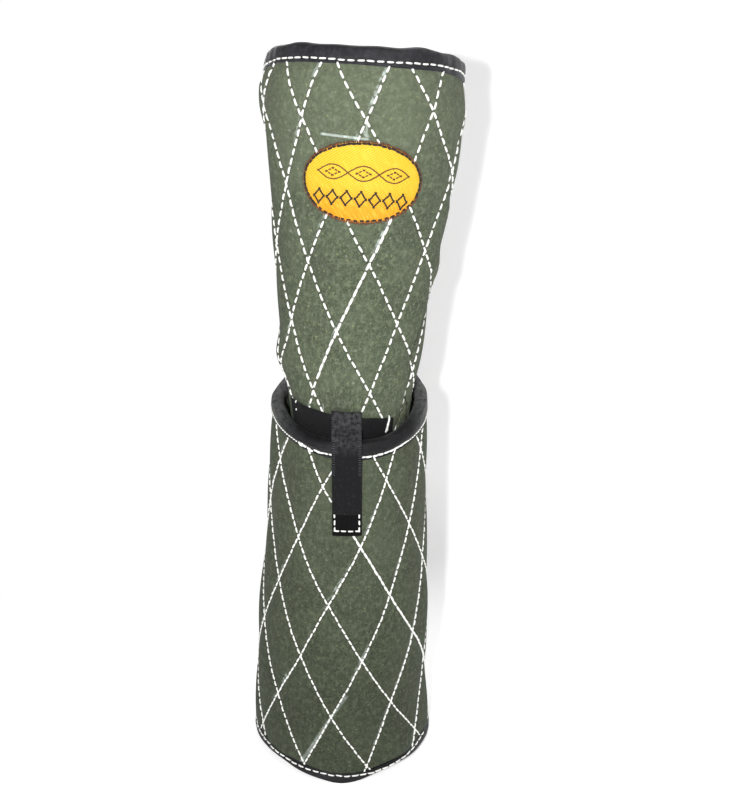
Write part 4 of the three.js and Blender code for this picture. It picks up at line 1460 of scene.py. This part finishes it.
def rim_line(start, end, wander=0.0):
    turn = np.linspace(start * degree, end * degree, 260)
    height = lower.mouth(turn) - roll_seam_drop + wander * unevenness(turn * 3, 0 * turn, seed=65)
    return on_tube(lower, roll_ground, turn, height, beside_strap(lower, turn, height, 0.6 * mm))


def knot_loops():
    """Three small turns of thread, wound on the spot."""
    angle = np.linspace(0, 3 * full_turn, 60)
    turn = knot_turn + 1.5 * mm * np.cos(angle) / lower_mouth_half
    height = lower.mouth(turn) - roll_seam_drop + 0.4 * mm + 1.1 * mm * np.sin(angle * 1.35)
    return on_tube(lower, roll_ground, turn, height, lift=0.7 * mm)


sew("lower_rim_fine_seam", rim_line(-180, -37) + rim_line(44, 179), 3.0, 0.82, 1.1, seed=66)
sew("lower_rim_right_seam", rim_line(6, 44, 0.15 * mm), 4.6, 1.2, 1.8, seed=67, unevenness=0.18)
sew("lower_rim_left_seam", rim_line(-37, -9, 0.3 * mm), 3.2, 1.3, 2.0, seed=68, unevenness=0.35)
sew("lower_rim_knot", knot_loops(), 1.3, 1.6, 1.1, seed=69, unevenness=0.4)

# %% [markdown]
# ## Seams of the webbing
# The strap's foot is sewn down by a row in the shape of a U, and the webbing's own edges are whipped
# with fine grey thread. The cross band is held by a few stitches at its left end and by a thick bar
# at its right.

# %% Webbing seams
strap_ground = ground_of(strap)
band_ground = ground_of(band)
before_strap = -140 * mm
leg = 10.0 * mm
foot_seam = strap_foot + 4.4 * mm
whip = strap_width / 2 - 1.7 * mm


def on_strap(x_from_middle, z):
    """A line on the strap's front, given in its own width and in height."""
    x, z = np.broadcast_arrays(strap_x + x_from_middle, z)
    starts = np.stack([x, 0 * x + before_strap, z], axis=-1)
    return laid(strap_ground, starts, starts + [0, 1, 0])


def tack(start, end):
    """A straight line on the band between two places, each a turn and a height in mm."""
    turn, height = np.linspace(start, end, 20).T
    return on_tube(upper, band_ground, turn * degree, height * mm)


leg_heights = np.linspace(foot_seam + 1.2 * mm, strap_flap - 1.6 * mm, 24)
across_foot = np.linspace(-leg + 1.5 * mm, leg - 1.5 * mm, 30)
edge_heights = np.linspace(rim_z - 30 * mm, band_top - 1 * mm, 200)
sew("strap_foot_seam",
    on_strap(-leg, leg_heights) + on_strap(leg, leg_heights) + on_strap(across_foot, foot_seam),
    5.4, 0.80, 1.35, seed=71)
sew("strap_edge_whipping", on_strap(-whip, edge_heights) + on_strap(whip, edge_heights),
    1.9, 1.35, 0.5, seed=72, thread=grey_thread, crosswise=True)
sew("band_left_tack", tack((-54.9, 334.5), (-55.5, 325.5)), 3.6, 0.62, 1.1, seed=73)
sew("band_right_tack", tack((36.6, 325.8), (33.6, 311.0)) + tack((35.8, 324.0), (34.8, 312.0)),
    3.0, 1.6, 1.5, seed=74, unevenness=0.15)

# %% [markdown]
# ## The patch's edge and ornament
# A thick dark row holds the patch down, nearly closed above and dashed below, over the short rust
# threads that bind its edge. On it are two generic rows of embroidery: a thin twisted band whose
# lenses each hold a lozenge, and a bold row of lozenges, like the quilting.

# %% Patch seams
patch_ground = ground_of(patch)


def on_patch(across, up):
    """A line on the patch, in its own plane."""
    across, up = np.broadcast_arrays(across, up)
    return laid(patch_ground, patch_spot(across, up, 20 * mm), patch_spot(across, up, 0.0), lift=0.05 * mm)


def patch_arc(start, end, inset):
    angle = np.linspace(start * degree, end * degree, 300)
    return on_patch((patch_length / 2 - inset) * np.cos(angle), (patch_height / 2 - inset) * np.sin(angle))


sew("patch_edge_binding", patch_arc(0, 360, 0.5 * mm), 0.95, 3.3, 0.7, seed=81, unevenness=0.5,
    thread=rust_thread, crosswise=True)
sew("patch_upper_row", patch_arc(-12, 218, 1.2 * mm), 3.6, 1.08, 1.7, seed=82, unevenness=0.16,
    thread=black_thread)
sew("patch_lower_row", patch_arc(221, 345, 1.2 * mm), 4.6, 0.72, 1.5, seed=83, unevenness=0.2,
    thread=black_thread)

# %% Patch ornament
twist_length = 22 * mm
twist_reach = 33 * mm
twist_height = 5.2 * mm
twist_middle = 6.5 * mm
bold_step = 10.4 * mm
bold_middle = -11.5 * mm


def lozenge(across, up, half_width, half_height):
    """Its four sides, each a line of its own, so that the corners stay sharp."""
    corners = [(half_width, 0), (0, half_height), (-half_width, 0), (0, -half_height), (half_width, 0)]
    painted_sheen_sides = []
    for start, end in zip(corners, corners[1:]):
        x, y = np.linspace(start, end, 12).T
        painted_sheen_sides += on_patch(across + x, up + y)
    return painted_sheen_sides


places = np.linspace(-twist_reach, twist_reach, 240)
swing = twist_height * np.sin(math.pi * (places + twist_reach) / twist_length)
thin_lines = on_patch(places, twist_middle + swing) + on_patch(places, twist_middle - swing)
for middle in (-1, 0, 1):
    thin_lines += lozenge(middle * twist_length, twist_middle, 4.6 * mm, 2.4 * mm)
sew("patch_twisted_band", thin_lines, 2.0, 1.2, 0.95, seed=84, thread=brown_thread)

bold_lines = []
for middle in range(-3, 4):
    bold_lines += lozenge(middle * bold_step, bold_middle, 3.9 * mm, 4.9 * mm)
sew("patch_lozenge_row", bold_lines, 2.0, 1.3, 1.3, seed=85, thread=black_thread)

bpy.data.objects.remove(stitch)
